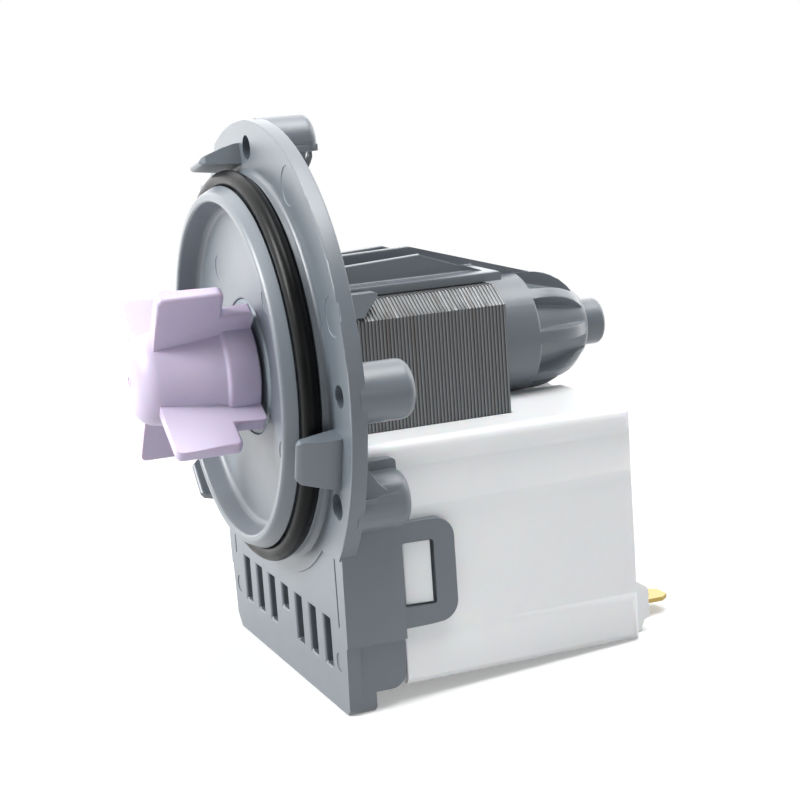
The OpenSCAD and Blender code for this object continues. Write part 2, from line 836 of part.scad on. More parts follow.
module rotor_core() {
    color("#e8e8e4")
        difference() {
            union() {
                bar(magnet_bore_r - seat_gap, core_plug_y0, core_plug_y1);
                bar(magnet_bore_r + 2, magnet_y1 + seat_gap, core_plug_y1);
            }
            bar(shaft_r + seat_gap / 2, core_plug_y0 - 1, core_plug_y1 + 1);
        }
}

module rotor_magnet() {
    color("#3a3a3d")
        turned()
            polygon([[magnet_bore_r, magnet_y0], [magnet_r - 0.5, magnet_y0],
                [magnet_r, magnet_y0 + 0.5], [magnet_r, magnet_y1 - 0.5],
                [magnet_r - 0.5, magnet_y1], [magnet_bore_r, magnet_y1]]);
}

module front_thrust_washer() {
    color("#d9b98a")
        sleeve(washer_r, shaft_r + seat_gap, core_plug_y0 - washer_t - seat_gap,
            core_plug_y0 - seat_gap);
}

module rear_thrust_washer() {
    color("#d9b98a")
        sleeve(washer_r, shaft_r + seat_gap, core_plug_y1 + seat_gap,
            core_plug_y1 + washer_t + seat_gap);
}

// Outline of one sheet; trim draws its outer edges in
module sheet_outline(trim = 0) {
    w = core_half_w - trim;
    top = leg_top_z - trim;
    difference() {
        polygon([[-w, core_bottom_z], [w, core_bottom_z],
            [w, leg_top_z - chamfer_h], [w + trim - chamfer_w, top], [leg_gap_half, top],
            [leg_gap_half, yoke_top_z], [-leg_gap_half, yoke_top_z], [-leg_gap_half, top],
            [-w - trim + chamfer_w, top], [-w, leg_top_z - chamfer_h]]);
        circle(r = pole_r);
    }
}

// Part of a sheet that shows above the coil housing
module sheet_top() {
    intersection() {
        sheet_outline();
        translate([-core_half_w - 1, housing_top_z - 0.6])
            square([2 * core_half_w + 2, leg_top_z - housing_top_z + 2]);
    }
}

// Stack of steel sheets: a groove shows between one sheet and the next
module stator_core() {
    color("#77746f") {
        xz(core_y0, core_y1)
            sheet_outline(groove_depth);
        for (i = [0:sheet_n - 1])
            xz(core_y0 + i * sheet_t + groove_w / 2, core_y0 + (i + 1) * sheet_t - groove_w / 2)
                sheet_top();
    }
}

// Bobbin on one leg of the core
module bobbin() {
    leg_x0 = leg_gap_half - seat_gap;
    leg_x1 = core_half_w + seat_gap;
    tube = bobbin_wall;
    difference() {
        union() {
            xy(coil_bottom_z, coil_top_z)
                round_rect(leg_x0 - tube, core_y0 - tube - seat_gap, leg_x1 + tube,
                    core_y1 + tube + seat_gap, tube);
            for (z = [coil_bottom_z, coil_top_z - coil_flange_t])
                xy(z, z + coil_flange_t)
                    round_rect(coil_in_x, coil_y0, coil_out_x, coil_y1, 2.5);
        }
        translate([leg_x0, core_y0 - seat_gap, coil_bottom_z - 1])
            cube([leg_x1 - leg_x0, core_y1 - core_y0 + 2 * seat_gap, coil_top_z - coil_bottom_z + 2]);
    }
}

// Winding of enamelled wire between the flanges of a bobbin
module winding() {
    in = bobbin_wall + 2 * seat_gap;
    difference() {
        xy(coil_bottom_z + coil_flange_t + seat_gap, coil_top_z - coil_flange_t - seat_gap)
            round_rect(coil_in_x + flange_rim, coil_y0 + flange_rim, coil_out_x - flange_rim,
                coil_y1 - flange_rim, 3);
        xy(coil_bottom_z, coil_top_z)
            round_rect(leg_gap_half - in, core_y0 - in, core_half_w + in, core_y1 + in, bobbin_wall);
    }
}

module left_bobbin() {
    color("#f2efe6")
        mirror([1, 0, 0])
            bobbin();
}

module right_bobbin() {
    color("#f2efe6")
        bobbin();
}

module left_winding() {
    color("#b5683a")
        mirror([1, 0, 0])
            winding();
}

module right_winding() {
    color("#b5683a")
        winding();
}

// Half of the housing's outline: a rounded top edge, a band, a soft hollow and a plinth
function housing_side() = concat(
    arc(housing_half_w - 1.6, housing_top_z - 1.6, 1.6, 90, 0, 4),
    [[housing_half_w, housing_top_z - 3.6], [housing_half_w - side_inset, housing_top_z - 4.8],
     [housing_half_w - side_inset, housing_top_z - 8.8],
     [housing_half_w - side_inset / 3, housing_top_z - 11.6],
     [housing_half_w - side_inset, housing_top_z - 14.6],
     [housing_half_w - side_inset, housing_bottom_z + 8.8],
     [housing_half_w, housing_bottom_z + 7.4]],
    arc(housing_half_w - 1.2, housing_bottom_z + 1.2, 1.2, 0, -90, 4));

module housing_outline() {
    polygon(concat(housing_side(),
        [for (i = [len(housing_side()) - 1:-1:0]) [-housing_side()[i][0], housing_side()[i][1]]]));
}

// Catch for a clip: it rises towards the rear and drops off sharply
module catch() {
    z1 = cheek_top_z - clip_arm - 0.2;
    rear = clip_y1 - clip_bar - 0.4;
    xy(z1 - catch_h, z1)
        polygon([[housing_half_w - 2, cheek_end_y + 0.7], [housing_half_w + 0.2, cheek_end_y + 0.7],
            [clip_x0 + clip_t - 0.6, rear - 0.6], [clip_x0 + clip_t - 0.6, rear],
            [housing_half_w - 2, rear]]);
}

// Block round the roots of the terminals
module terminal_block() {
    yz(-block_half_w, block_half_w)
        polygon([[housing_y1 - 1, housing_bottom_z], [housing_y1 + block_len - 1.4, housing_bottom_z],
            [housing_y1 + block_len - 1.4, housing_bottom_z + 2.1],
            [housing_y1 + block_len, housing_bottom_z + 2.5],
            [housing_y1 + block_len, housing_bottom_z + 8],
            [housing_y1 + 0.6, housing_bottom_z + 10], [housing_y1 - 1, housing_bottom_z + 10]]);
}

module coil_housing() {
    color("#eceded")
        difference() {
            union() {
                intersection() {
                    xz(housing_y0, housing_y1)
                        housing_outline();
                    xy(housing_bottom_z - 1, housing_top_z + 1)
                        round_rect(-housing_half_w, housing_y0 - 4, housing_half_w, housing_y1, 1.5);
                }
                catch();
                mirror([1, 0, 0])
                    catch();
                terminal_block();
            }
            // Space for the core, the coils and the wiring, open towards the front plate
            translate([-cavity_half_w, housing_y0 - 1, housing_bottom_z + housing_wall])
                cube([2 * cavity_half_w, housing_len - housing_wall + 1,
                    housing_h - 2 * housing_wall]);
            // Opening for the core's legs, and the trough under the can
            translate([-core_half_w - 0.2, core_y0 - 0.2, housing_top_z - 5])
                cube([2 * core_half_w + 0.4, core_y1 - core_y0 + 0.4, 10]);
            bar(pole_r, housing_y0 - 1, cone_end_y);
            // Steps that the cover's cheeks lie in
            for (side = [-1, 1])
                translate([side * (cover_fit_x + 5) - 5, housing_y0 - 1, housing_bottom_z - 1])
                    cube([10, cheek_end_y - housing_y0 + 1.2, cheek_top_z - housing_bottom_z + 1.3]);
            // Reliefs round the lower bosses
            for (a = [210, 330])
                at_angle(a)
                    translate([screw_circle_r, 0, 0])
                        bar(boss_r + free_gap, 0, flange_t + boss_len + free_gap);
            for (side = [-1, 1])
                translate([side * blade_pitch / 2 - blade_w / 2 - seat_gap, housing_y1 - 10,
                        blade_z - seat_gap])
                    cube([blade_w + 2 * seat_gap, block_len + 20, blade_t + 2 * seat_gap]);
        }
}

// Flat blade with a chamfered tip
module terminal(x) {
    w = blade_w / 2;
    translate([x, 0, 0])
        xy(blade_z, blade_z + blade_t)
            difference() {
                polygon([[-w, blade_start_y], [w, blade_start_y], [w, blade_end_y - 1.6],
                    [w - 1.4, blade_end_y], [-w + 1.4, blade_end_y], [-w, blade_end_y - 1.6]]);
                translate([0, blade_end_y - 3.6])
                    circle(r = 0.8);
            }
}

module left_terminal() {
    color("#b9a36b")
        terminal(-blade_pitch / 2);
}

module right_terminal() {
    color("#b9a36b")
        terminal(blade_pitch / 2);
}

// Thermal cut-out that lies against the right coil
protector_y0 = coil_y1 + 0.1;
protector_t = 3.2;
protector_z0 = coil_bottom_z + 8;
protector_h = 12;
module thermal_protector() {
    color("#2f3234")
        xz(protector_y0, protector_y0 + protector_t)
            round_rect(blade_pitch / 2 - 6, protector_z0, blade_pitch / 2 + 6,
                protector_z0 + protector_h, 1);
}

// Wire along a route of straight runs
wire_r = 0.45;
module wire(route) {
    for (i = [0:len(route) - 2])
        let (d = route[i + 1] - route[i])
            translate(route[i])
                rotate([0, acos(d[2] / norm(d)), atan2(d[1], d[0])])
                    cylinder(r = wire_r, h = norm(d), $fn = 24);
    for (i = [1:1:len(route) - 2])
        translate(route[i])
            sphere(r = wire_r, $fn = 24);
}

lead_y = protector_y0 + protector_t / 2;
lead_end_z = blade_z + blade_t + seat_gap;
module left_lead() {
    color("#b9362e")
        wire([[-blade_pitch / 2, coil_y1 - flange_rim + seat_gap, protector_z0],
            [-blade_pitch / 2, lead_y, protector_z0], [-blade_pitch / 2, lead_y, lead_end_z]]);
}

module right_lead() {
    color("#b9362e")
        wire([[blade_pitch / 2, lead_y, protector_z0 - seat_gap],
            [blade_pitch / 2, lead_y, lead_end_z]]);
}

module coil_jumper() {
    x = coil_in_x + 6;
    y = coil_y1 - flange_rim + seat_gap;
    z = coil_top_z - 6;
    color("#b9362e")
        wire([[-x, y, z], [-x, lead_y, z], [x, lead_y, z], [x, y, z]]);
}

pump_cover();
seal_ring();
bearing_carrier();
carrier_seal();
shaft_lip_seal();
front_bush_mount();
front_bush();
rear_bush_mount();
rear_bush();
impeller();
impeller_hub_cap();
drive_dog();
rotor_shaft();
rotor_core();
rotor_magnet();
front_thrust_washer();
rear_thrust_washer();
stator_core();
left_bobbin();
right_bobbin();
left_winding();
right_winding();
coil_housing();
left_terminal();
right_terminal();
thermal_protector();
left_lead();
right_lead();
coil_jumper();
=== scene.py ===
"""Looks of a washing machine's drain pump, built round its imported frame.

The frame gives every piece its place and its joints. This script rounds the edges of the
mouldings, adds their small marks, closes the gaps of the sheet stack, dresses each piece in
the finish of the real one, and sets up a pale studio with the photograph's camera.
"""

import logging
import math
from dataclasses import dataclass
from enum import Enum
from typing import Sequence

import bmesh
import bpy
from mathutils import Matrix, Vector
from mathutils.bvhtree import BVHTree
from mathutils.geometry import intersect_point_line
from mathutils.kdtree import KDTree


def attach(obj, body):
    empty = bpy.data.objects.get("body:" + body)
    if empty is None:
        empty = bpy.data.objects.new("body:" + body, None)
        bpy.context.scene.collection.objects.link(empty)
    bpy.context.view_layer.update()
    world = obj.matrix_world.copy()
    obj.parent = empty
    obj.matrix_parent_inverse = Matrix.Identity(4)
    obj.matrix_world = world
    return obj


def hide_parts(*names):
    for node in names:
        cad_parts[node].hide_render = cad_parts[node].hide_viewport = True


Piece = bpy.types.Object
Tree = bpy.types.NodeTree
Socket = bpy.types.NodeSocket
Triple = tuple[float, float, float]

MM = 0.001
NOISE_LOW, NOISE_HIGH = 0.3, 0.7  # nearly all values of a noise texture lie between these
WAVE_PERIOD = 0.3142  # length of one wave of the wave texture at scale 1
WHITE = "#ffffff"

log = logging.getLogger("drain_pump")
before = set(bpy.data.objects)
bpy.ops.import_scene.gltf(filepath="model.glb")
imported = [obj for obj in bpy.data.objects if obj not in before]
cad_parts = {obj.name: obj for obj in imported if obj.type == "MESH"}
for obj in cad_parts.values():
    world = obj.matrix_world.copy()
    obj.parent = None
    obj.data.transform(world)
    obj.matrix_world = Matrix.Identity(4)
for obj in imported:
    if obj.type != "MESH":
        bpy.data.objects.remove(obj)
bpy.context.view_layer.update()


class Body(Enum):
    """The rigid bodies of the frame."""

    MOTOR = "motor"
    ROTOR = "rotor"
    WHEEL = "impeller_wheel"


class Side(Enum):
    """The two sides of the motor, as the frame's nodes name them."""

    LEFT = "left"
    RIGHT = "right"


def linear(code: str) -> tuple[float, float, float, float]:
    """Turn an sRGB hex colour into linear values.

    Args:
        code: Colour such as "#9aa5ac".

    Returns:
        Red, green, blue and alpha, linear.
    """
    parts = [int(code[i : i + 2], 16) / 255 for i in (1, 3, 5)]
    out = [p / 12.92 if p <= 0.04045 else ((p + 0.055) / 1.055) ** 2.4 for p in parts]
    return (out[0], out[1], out[2], 1.0)


def add_node(tree: Tree, kind: str, links: dict | None = None, **values) -> bpy.types.Node:
    """Add one shader node with its settings and incoming links.

    Args:
        tree: Node tree of the material.
        kind: Node type, such as "ShaderNodeTexNoise".
        links: Input name or index to the output socket that feeds it.
        **values: Attributes of the node, or with the prefix in_ the defaults of its inputs.

    Returns:
        The new node.
    """
    node = tree.nodes.new(kind)
    for key, value in values.items():
        if not key.startswith("in_"):
            setattr(node, key, value)
    for key, value in values.items():
        if key.startswith("in_"):
            name = key[3:]
            socket = node.inputs[int(name)] if name.isdigit() else node.inputs[name.replace("_", " ")]
            socket.default_value = value
    for name, output in (links or {}).items():
        tree.links.new(output, node.inputs[name])
    return node


def new_material(name: str) -> tuple[bpy.types.Material, Tree, bpy.types.Node]:
    """Start a material that holds one principled shader.

    Args:
        name: Name of the material.

    Returns:
        The material, its node tree and its shader node.
    """
    material = bpy.data.materials.new(name)
    material.use_nodes = True
    tree = material.node_tree
    tree.nodes.clear()
    shader = add_node(tree, "ShaderNodeBsdfPrincipled")
    add_node(tree, "ShaderNodeOutputMaterial", {"Surface": shader.outputs["BSDF"]})
    return material, tree, shader


@dataclass(frozen=True)
class PinMark:
    """Place and radius, in mm, of the ring that an ejector pin's edge leaves."""

    x: float
    y: float
    z: float
    radius: float


@dataclass(frozen=True)
class MouldedPlastic:
    """Injection moulded plastic from a lightly textured tool.

    The eye gets a colour that drifts a little with the melt's flow, a satin skin with a
    fine grain, and on large mouldings a painted highlight on the rims of the ejector pins' marks.

    Attributes:
        name: Name of the material.
        base: Main colour.
        drift: Colour that it drifts to.
        roughness: Middle of the skin's roughness.
        grain_mm: Size of the skin's grain.
        grain_height_mm: Height of the grain.
        flow_mm: Size of the colour's drift.
        scatter_mm: How far light goes in, for a translucent plastic.
        edge_mm: Radius of softened edges in the shading, on a piece without rounded edges.
        gloss: Strength of the smoother skin that a polished tool gives.
        rings: Marks of the ejector pins.
    """

    name: str
    base: str
    drift: str
    roughness: float = 0.42
    grain_mm: float = 0.35
    grain_height_mm: float = 0.012
    flow_mm: float = 14.0
    scatter_mm: float = 0.0
    scatter_weight: float = 0.25
    edge_mm: float = 0.0
    gloss: float = 0.0
    gloss_roughness: float = 0.45
    ior: float = 1.49
    rings: tuple[PinMark, ...] = ()
    ring_highlight_tone: str = "#a3adb6"
    ring_highlight_strength: float = 0.55
    ring_core_mm: float = 0.06
    ring_fade_mm: float = 0.2
    ring_flatten: float = 8.0  # squeezes a ring along Y, so that it stays off the sides below

    def ring_highlight_mask(self, tree: Tree, place: Socket) -> Socket:
        """Make a mask that is 1 on the painted highlight lines round the pin marks.

        Args:
            tree: Node tree of the material.
            place: Socket with the place on the object.

        Returns:
            Socket with the mask.
        """
        squeeze = self.ring_flatten
        flat = add_node(tree, "ShaderNodeMapping", {"Vector": place}, in_Scale=(1.0, squeeze, 1.0))
        mask = None
        for mark in self.rings:
            away = add_node(
                tree, "ShaderNodeVectorMath", {0: flat.outputs[0]}, operation="DISTANCE",
                in_1=(mark.x * MM, mark.y * squeeze * MM, mark.z * MM),
            )
            off = add_node(
                tree, "ShaderNodeMath", {0: away.outputs["Value"]}, operation="SUBTRACT",
                in_1=mark.radius * MM,
            )
            near = add_node(tree, "ShaderNodeMath", {0: off.outputs[0]}, operation="ABSOLUTE")
            line = add_node(
                tree, "ShaderNodeMapRange", {"Value": near.outputs[0]},
                interpolation_type="SMOOTHSTEP",
                in_1=self.ring_core_mm * MM, in_2=self.ring_fade_mm * MM, in_3=1.0, in_4=0.0,
            )
            if mask is None:
                mask = line.outputs[0]
            else:
                both = {0: mask, 1: line.outputs[0]}
                mask = add_node(tree, "ShaderNodeMath", both, operation="MAXIMUM").outputs[0]
        return mask

    def colour(self, tree: Tree, place: Socket, flow: Socket) -> Socket:
        """Mix the plastic's colour.

        Args:
            tree: Node tree of the material.
            place: Socket with the place on the object.
            flow: Socket with the melt's flow.

        Returns:
            Socket with the colour.
        """
        tint = add_node(
            tree, "ShaderNodeMix", {0: flow}, data_type="RGBA",
            in_6=linear(self.base), in_7=linear(self.drift),
        )
        if not self.rings:
            return tint.outputs[2]
        # Pale lines round the pin marks: painted highlight on the rims of the real marks.
        part = add_node(
            tree, "ShaderNodeMath", {0: self.ring_highlight_mask(tree, place)},
            operation="MULTIPLY", in_1=self.ring_highlight_strength,
        )
        highlighted = add_node(
            tree, "ShaderNodeMix", {0: part.outputs[0], 6: tint.outputs[2]}, data_type="RGBA",
            in_7=linear(self.ring_highlight_tone),
        )
        return highlighted.outputs[2]

    def make(self) -> bpy.types.Material:
        """Build the material.

        Returns:
            The material.
        """
        material, tree, shader = new_material(self.name)
        shader.inputs["Coat Weight"].default_value = self.gloss
        shader.inputs["Coat Roughness"].default_value = self.gloss_roughness
        shader.inputs["IOR"].default_value = self.ior
        place = add_node(tree, "ShaderNodeTexCoord").outputs["Object"]
        flow = add_node(
            tree, "ShaderNodeTexNoise", {"Vector": place},
            in_Scale=1 / (self.flow_mm * MM), in_Detail=3.0, in_Roughness=0.55,
        ).outputs["Fac"]
        tree.links.new(self.colour(tree, place, flow), shader.inputs["Base Color"])
        sheen = add_node(
            tree, "ShaderNodeMapRange", {"Value": flow}, in_1=NOISE_LOW, in_2=NOISE_HIGH,
            in_3=self.roughness - 0.05, in_4=self.roughness + 0.06,
        )
        tree.links.new(sheen.outputs[0], shader.inputs["Roughness"])
        grain = add_node(
            tree, "ShaderNodeTexNoise", {"Vector": place},
            in_Scale=1 / (self.grain_mm * MM), in_Detail=2.0, in_Roughness=0.6,
        )
        bump = add_node(
            tree, "ShaderNodeBump", {"Height": grain.outputs["Fac"]},
            in_Strength=1.0, in_Distance=self.grain_height_mm * MM,
        )
        if self.edge_mm:
            soft = add_node(tree, "ShaderNodeBevel", samples=6, in_Radius=self.edge_mm * MM)
            tree.links.new(soft.outputs["Normal"], bump.inputs["Normal"])
        tree.links.new(bump.outputs["Normal"], shader.inputs["Normal"])
        if self.scatter_mm:
            shader.inputs["Subsurface Weight"].default_value = self.scatter_weight
            shader.inputs["Subsurface Scale"].default_value = self.scatter_mm * MM
        return material


@dataclass(frozen=True)
class MouldedRubber:
    """Pressed nitrile rubber.

    The eye gets near black with a narrow satin shine, broken by a faint bloom and dust.
    """

    name: str = "nitrile_rubber"
    base: str = "#060607"
    bloom: str = "#0e0f10"
    dust_mm: float = 4.0
    skin_mm: float = 0.25
    skin_height_mm: float = 0.01
    shine: tuple[float, float] = (0.26, 0.4)
    reflection: float = 0.13

    def make(self) -> bpy.types.Material:
        """Build the material.

        Returns:
            The material.
        """
        material, tree, shader = new_material(self.name)
        place = add_node(tree, "ShaderNodeTexCoord").outputs["Object"]
        dust = add_node(
            tree, "ShaderNodeTexNoise", {"Vector": place},
            in_Scale=1 / (self.dust_mm * MM), in_Detail=5.0,
        )
        tint = add_node(
            tree, "ShaderNodeMix", {0: dust.outputs["Fac"]}, data_type="RGBA",
            in_6=linear(self.base), in_7=linear(self.bloom),
        )
        tree.links.new(tint.outputs[2], shader.inputs["Base Color"])
        rough = add_node(
            tree, "ShaderNodeMapRange", {"Value": dust.outputs["Fac"]},
            in_1=NOISE_LOW, in_2=NOISE_HIGH, in_3=self.shine[0], in_4=self.shine[1],
        )
        tree.links.new(rough.outputs[0], shader.inputs["Roughness"])
        skin = add_node(
            tree, "ShaderNodeTexNoise", {"Vector": place},
            in_Scale=1 / (self.skin_mm * MM), in_Detail=2.0,
        )
        bump = add_node(
            tree, "ShaderNodeBump", {"Height": skin.outputs["Fac"]},
            in_Distance=self.skin_height_mm * MM,
        )
        tree.links.new(bump.outputs["Normal"], shader.inputs["Normal"])
        shader.inputs["Specular IOR Level"].default_value = self.reflection
        return material


@dataclass(frozen=True)
class SheetSteelStack:
    """Cut edges of electrical steel sheets, one on another.

    The eye gets a thin bright line painted along each sheet's edge as a glint, as strong as
    chance made it, on duller grey, with brown and grey streaks across the stack.

    Attributes:
        name: Name of the material.
        bright: Colour of the painted glint on a sheet's edge.
        dull: Colour beside it.
        stain: Colour of the streaks.
        sheet_mm: Thickness of a sheet.
        first_mm: Where the first sheet begins along Y.
        glint_at: Place of the painted glint, as a share of the sheet's thickness.
        glint_core: Half its width, as the same share.
        glint_fade: Half its width with its faded sides.
        faintest: Strength of the faintest painted glint.
        streaks_per_m: Number of streaks in a metre along each axis.
        stain_from: Streak value at which the stain begins and is full.
        stain_most: Strength of the full stain.
        rough: Least and greatest roughness.
        streak_height_mm: Height of the streaks.
        metallic: How much of the surface is bare metal.
    """

    name: str = "motor_sheet_edges"
    bright: str = "#8f9193"
    dull: str = "#6d6f71"
    stain: str = "#69625b"
    sheet_mm: float = 0.65
    first_mm: float = 10.35
    glint_at: float = 0.42
    glint_core: float = 0.04
    glint_fade: float = 0.17
    faintest: float = 0.55
    streaks_per_m: Triple = (260.0, 900.0, 45.0)
    stain_from: tuple[float, float] = (0.52, 0.75)
    stain_most: float = 0.6
    rough: tuple[float, float] = (0.42, 0.6)
    streak_height_mm: float = 0.02
    metallic: float = 0.6

    def edge_glints(self, tree: Tree, place: Socket) -> Socket:
        """Make a mask of the glints painted on the sheets' edges, each sheet with its own strength.

        Args:
            tree: Node tree of the material.
            place: Socket with the place on the object.

        Returns:
            Socket with the mask.
        """
        axes = add_node(tree, "ShaderNodeSeparateXYZ", {0: place})
        offset = add_node(
            tree, "ShaderNodeMath", {0: axes.outputs["Y"]}, operation="SUBTRACT",
            in_1=self.first_mm * MM,
        )
        count = add_node(
            tree, "ShaderNodeMath", {0: offset.outputs[0]}, operation="DIVIDE",
            in_1=self.sheet_mm * MM,
        )
        sheet = add_node(tree, "ShaderNodeMath", {0: count.outputs[0]}, operation="FLOOR")
        chance = add_node(
            tree, "ShaderNodeTexWhiteNoise", {"W": sheet.outputs[0]}, noise_dimensions="1D",
        )
        part = add_node(tree, "ShaderNodeMath", {0: count.outputs[0]}, operation="FRACT")
        aside = add_node(
            tree, "ShaderNodeMath", {0: part.outputs[0]}, operation="SUBTRACT", in_1=self.glint_at,
        )
        apart = add_node(tree, "ShaderNodeMath", {0: aside.outputs[0]}, operation="ABSOLUTE")
        # A thin bright line on each sheet's edge: painted glint.
        glint_line = add_node(
            tree, "ShaderNodeMapRange", {"Value": apart.outputs[0]},
            interpolation_type="SMOOTHSTEP",
            in_1=self.glint_core, in_2=self.glint_fade, in_3=1.0, in_4=0.0,
        )
        strength = add_node(
            tree, "ShaderNodeMapRange", {"Value": chance.outputs["Value"]},
            in_1=0.0, in_2=1.0, in_3=self.faintest, in_4=1.0,
        )
        lit = add_node(
            tree, "ShaderNodeMath", {0: glint_line.outputs[0], 1: strength.outputs[0]},
            operation="MULTIPLY",
        )
        return lit.outputs[0]

    def make(self) -> bpy.types.Material:
        """Build the material.

        Returns:
            The material.
        """
        material, tree, shader = new_material(self.name)
        place = add_node(tree, "ShaderNodeTexCoord").outputs["Object"]
        tint = add_node(
            tree, "ShaderNodeMix", {0: self.edge_glints(tree, place)}, data_type="RGBA",
            in_6=linear(self.dull), in_7=linear(self.bright),
        )
        stretch = add_node(
            tree, "ShaderNodeMapping", {"Vector": place}, in_Scale=self.streaks_per_m,
        )
        streak = add_node(
            tree, "ShaderNodeTexNoise", {"Vector": stretch.outputs[0]}, in_Scale=1.0, in_Detail=4.0,
        ).outputs["Fac"]
        spots = add_node(
            tree, "ShaderNodeMapRange", {"Value": streak},
            in_1=self.stain_from[0], in_2=self.stain_from[1], in_3=0.0, in_4=self.stain_most,
        )
        stained = add_node(
            tree, "ShaderNodeMix", {0: spots.outputs[0], 6: tint.outputs[2]}, data_type="RGBA",
            in_7=linear(self.stain),
        )
        tree.links.new(stained.outputs[2], shader.inputs["Base Color"])
        rough = add_node(
            tree, "ShaderNodeMapRange", {"Value": streak},
            in_1=NOISE_LOW, in_2=NOISE_HIGH, in_3=self.rough[0], in_4=self.rough[1],
        )
        tree.links.new(rough.outputs[0], shader.inputs["Roughness"])
        bump = add_node(
            tree, "ShaderNodeBump", {"Height": streak}, in_Distance=self.streak_height_mm * MM,
        )
        tree.links.new(bump.outputs["Normal"], shader.inputs["Normal"])
        shader.inputs["Metallic"].default_value = self.metallic
        return material


@dataclass(frozen=True)
class LinedFinish:
    """Ground, drawn or machined surface.

    The eye gets fine parallel tool lines that shift both tone and shine.

    Attributes:
        name: Name of the material.
        base: Colour on the lines' crests.
        dark: Colour between them.
        roughness: Roughness that the lines vary about.
        line_mm: Size of a line along each axis.
        metallic: 1 for a metal, 0 for a ceramic or graphite.
        line_height_mm: Height of a line.
    """

    name: str
    base: str
    dark: str
    roughness: float = 0.3
    line_mm: Triple = (6.0, 0.12, 6.0)
    metallic: float = 1.0
    line_height_mm: float = 0.006

    def make(self) -> bpy.types.Material:
        """Build the material.

        Returns:
            The material.
        """
        material, tree, shader = new_material(self.name)
        place = add_node(tree, "ShaderNodeTexCoord").outputs["Object"]
        stretch = add_node(
            tree, "ShaderNodeMapping", {"Vector": place},
            in_Scale=tuple(1 / (mm * MM) for mm in self.line_mm),
        )
        lines = add_node(
            tree, "ShaderNodeTexNoise", {"Vector": stretch.outputs[0]}, in_Scale=1.0, in_Detail=3.0,
        ).outputs["Fac"]
        tint = add_node(
            tree, "ShaderNodeMix", {0: lines}, data_type="RGBA",
            in_6=linear(self.dark), in_7=linear(self.base),
        )
        tree.links.new(tint.outputs[2], shader.inputs["Base Color"])
        rough = add_node(
            tree, "ShaderNodeMapRange", {"Value": lines}, in_1=NOISE_LOW, in_2=NOISE_HIGH,
            in_3=self.roughness - 0.06, in_4=self.roughness + 0.1,
        )
        tree.links.new(rough.outputs[0], shader.inputs["Roughness"])
        bump = add_node(
            tree, "ShaderNodeBump", {"Height": lines}, in_Distance=self.line_height_mm * MM,
        )
        tree.links.new(bump.outputs["Normal"], shader.inputs["Normal"])
        shader.inputs["Metallic"].default_value = self.metallic
        return material


@dataclass(frozen=True)
class EnamelledWire:
    """Layers of enamelled copper wire, wound round upright legs.

    The eye gets close copper turns one over another, with painted shade in the creases between them.
    """

    name: str = "enamelled_copper"
    base: str = "#b0602e"
    # Colour between the turns: painted shade in the creases between the wires.
    gap: str = "#4b2411"
    wire_mm: float = 0.35
    turn_height_mm: float = 0.1
    metallic: float = 0.7
    roughness: float = 0.32

    def make(self) -> bpy.types.Material:
        """Build the material.

        Returns:
            The material.
        """
        material, tree, shader = new_material(self.name)
        place = add_node(tree, "ShaderNodeTexCoord").outputs["Object"]
        turns = add_node(
            tree, "ShaderNodeTexWave", {"Vector": place}, bands_direction="Z",
            in_Scale=WAVE_PERIOD / (self.wire_mm * MM), in_Distortion=0.4, in_Detail=1.0,
        ).outputs["Fac"]
        tint = add_node(
            tree, "ShaderNodeMix", {0: turns}, data_type="RGBA",
            in_6=linear(self.gap), in_7=linear(self.base),
        )
        tree.links.new(tint.outputs[2], shader.inputs["Base Color"])
        bump = add_node(
            tree, "ShaderNodeBump", {"Height": turns}, in_Distance=self.turn_height_mm * MM,
        )
        tree.links.new(bump.outputs["Normal"], shader.inputs["Normal"])
        shader.inputs["Metallic"].default_value = self.metallic
        shader.inputs["Roughness"].default_value = self.roughness
        return material


def select_only(*objects: Piece) -> None:
    """Deselect all, then select these objects and make the first one active.

    Args:
        *objects: Objects to select.
    """
    bpy.ops.object.select_all(action="DESELECT")
    for obj in objects:
        obj.select_set(True)
    bpy.context.view_layer.objects.active = objects[0]


def merged_copy(node: str, name: str) -> Piece:
    """Copy a CAD node's mesh and join its loose triangles into clean faces.

    Args:
        node: Name of the CAD node.
        name: Name of the new piece.

    Returns:
        The new piece, in the node's place.
    """
    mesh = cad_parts[node].data.copy()
    piece = bpy.data.objects.new(name, mesh)
    bpy.context.scene.collection.objects.link(piece)
    select_only(piece)
    if mesh.has_custom_normals:
        bpy.ops.mesh.customdata_custom_splitnormals_clear()
    bpy.ops.object.mode_set(mode="EDIT")
    bpy.ops.mesh.select_all(action="SELECT")
    bpy.ops.mesh.remove_doubles(threshold=0.002 * MM)
    bpy.ops.mesh.dissolve_limited(angle_limit=math.radians(0.3))
    bpy.ops.object.mode_set(mode="OBJECT")
    return piece


@dataclass
class SharpEdge:
    """One sharp edge of a piece, and how much of the full width its rounding gets."""

    ends: tuple[Vector, Vector]
    share: float

    @property
    def length(self) -> float:
        """Length of the edge."""
        return (self.ends[1] - self.ends[0]).length

    def distance(self, spot: Vector) -> float:
        """Measure the distance from a spot to the nearest point of the edge.

        Args:
            spot: The spot, in metres.

        Returns:
            The distance, in metres.
        """
        along = intersect_point_line(spot, *self.ends)[1]
        return (self.ends[0].lerp(self.ends[1], min(1.0, max(0.0, along))) - spot).length


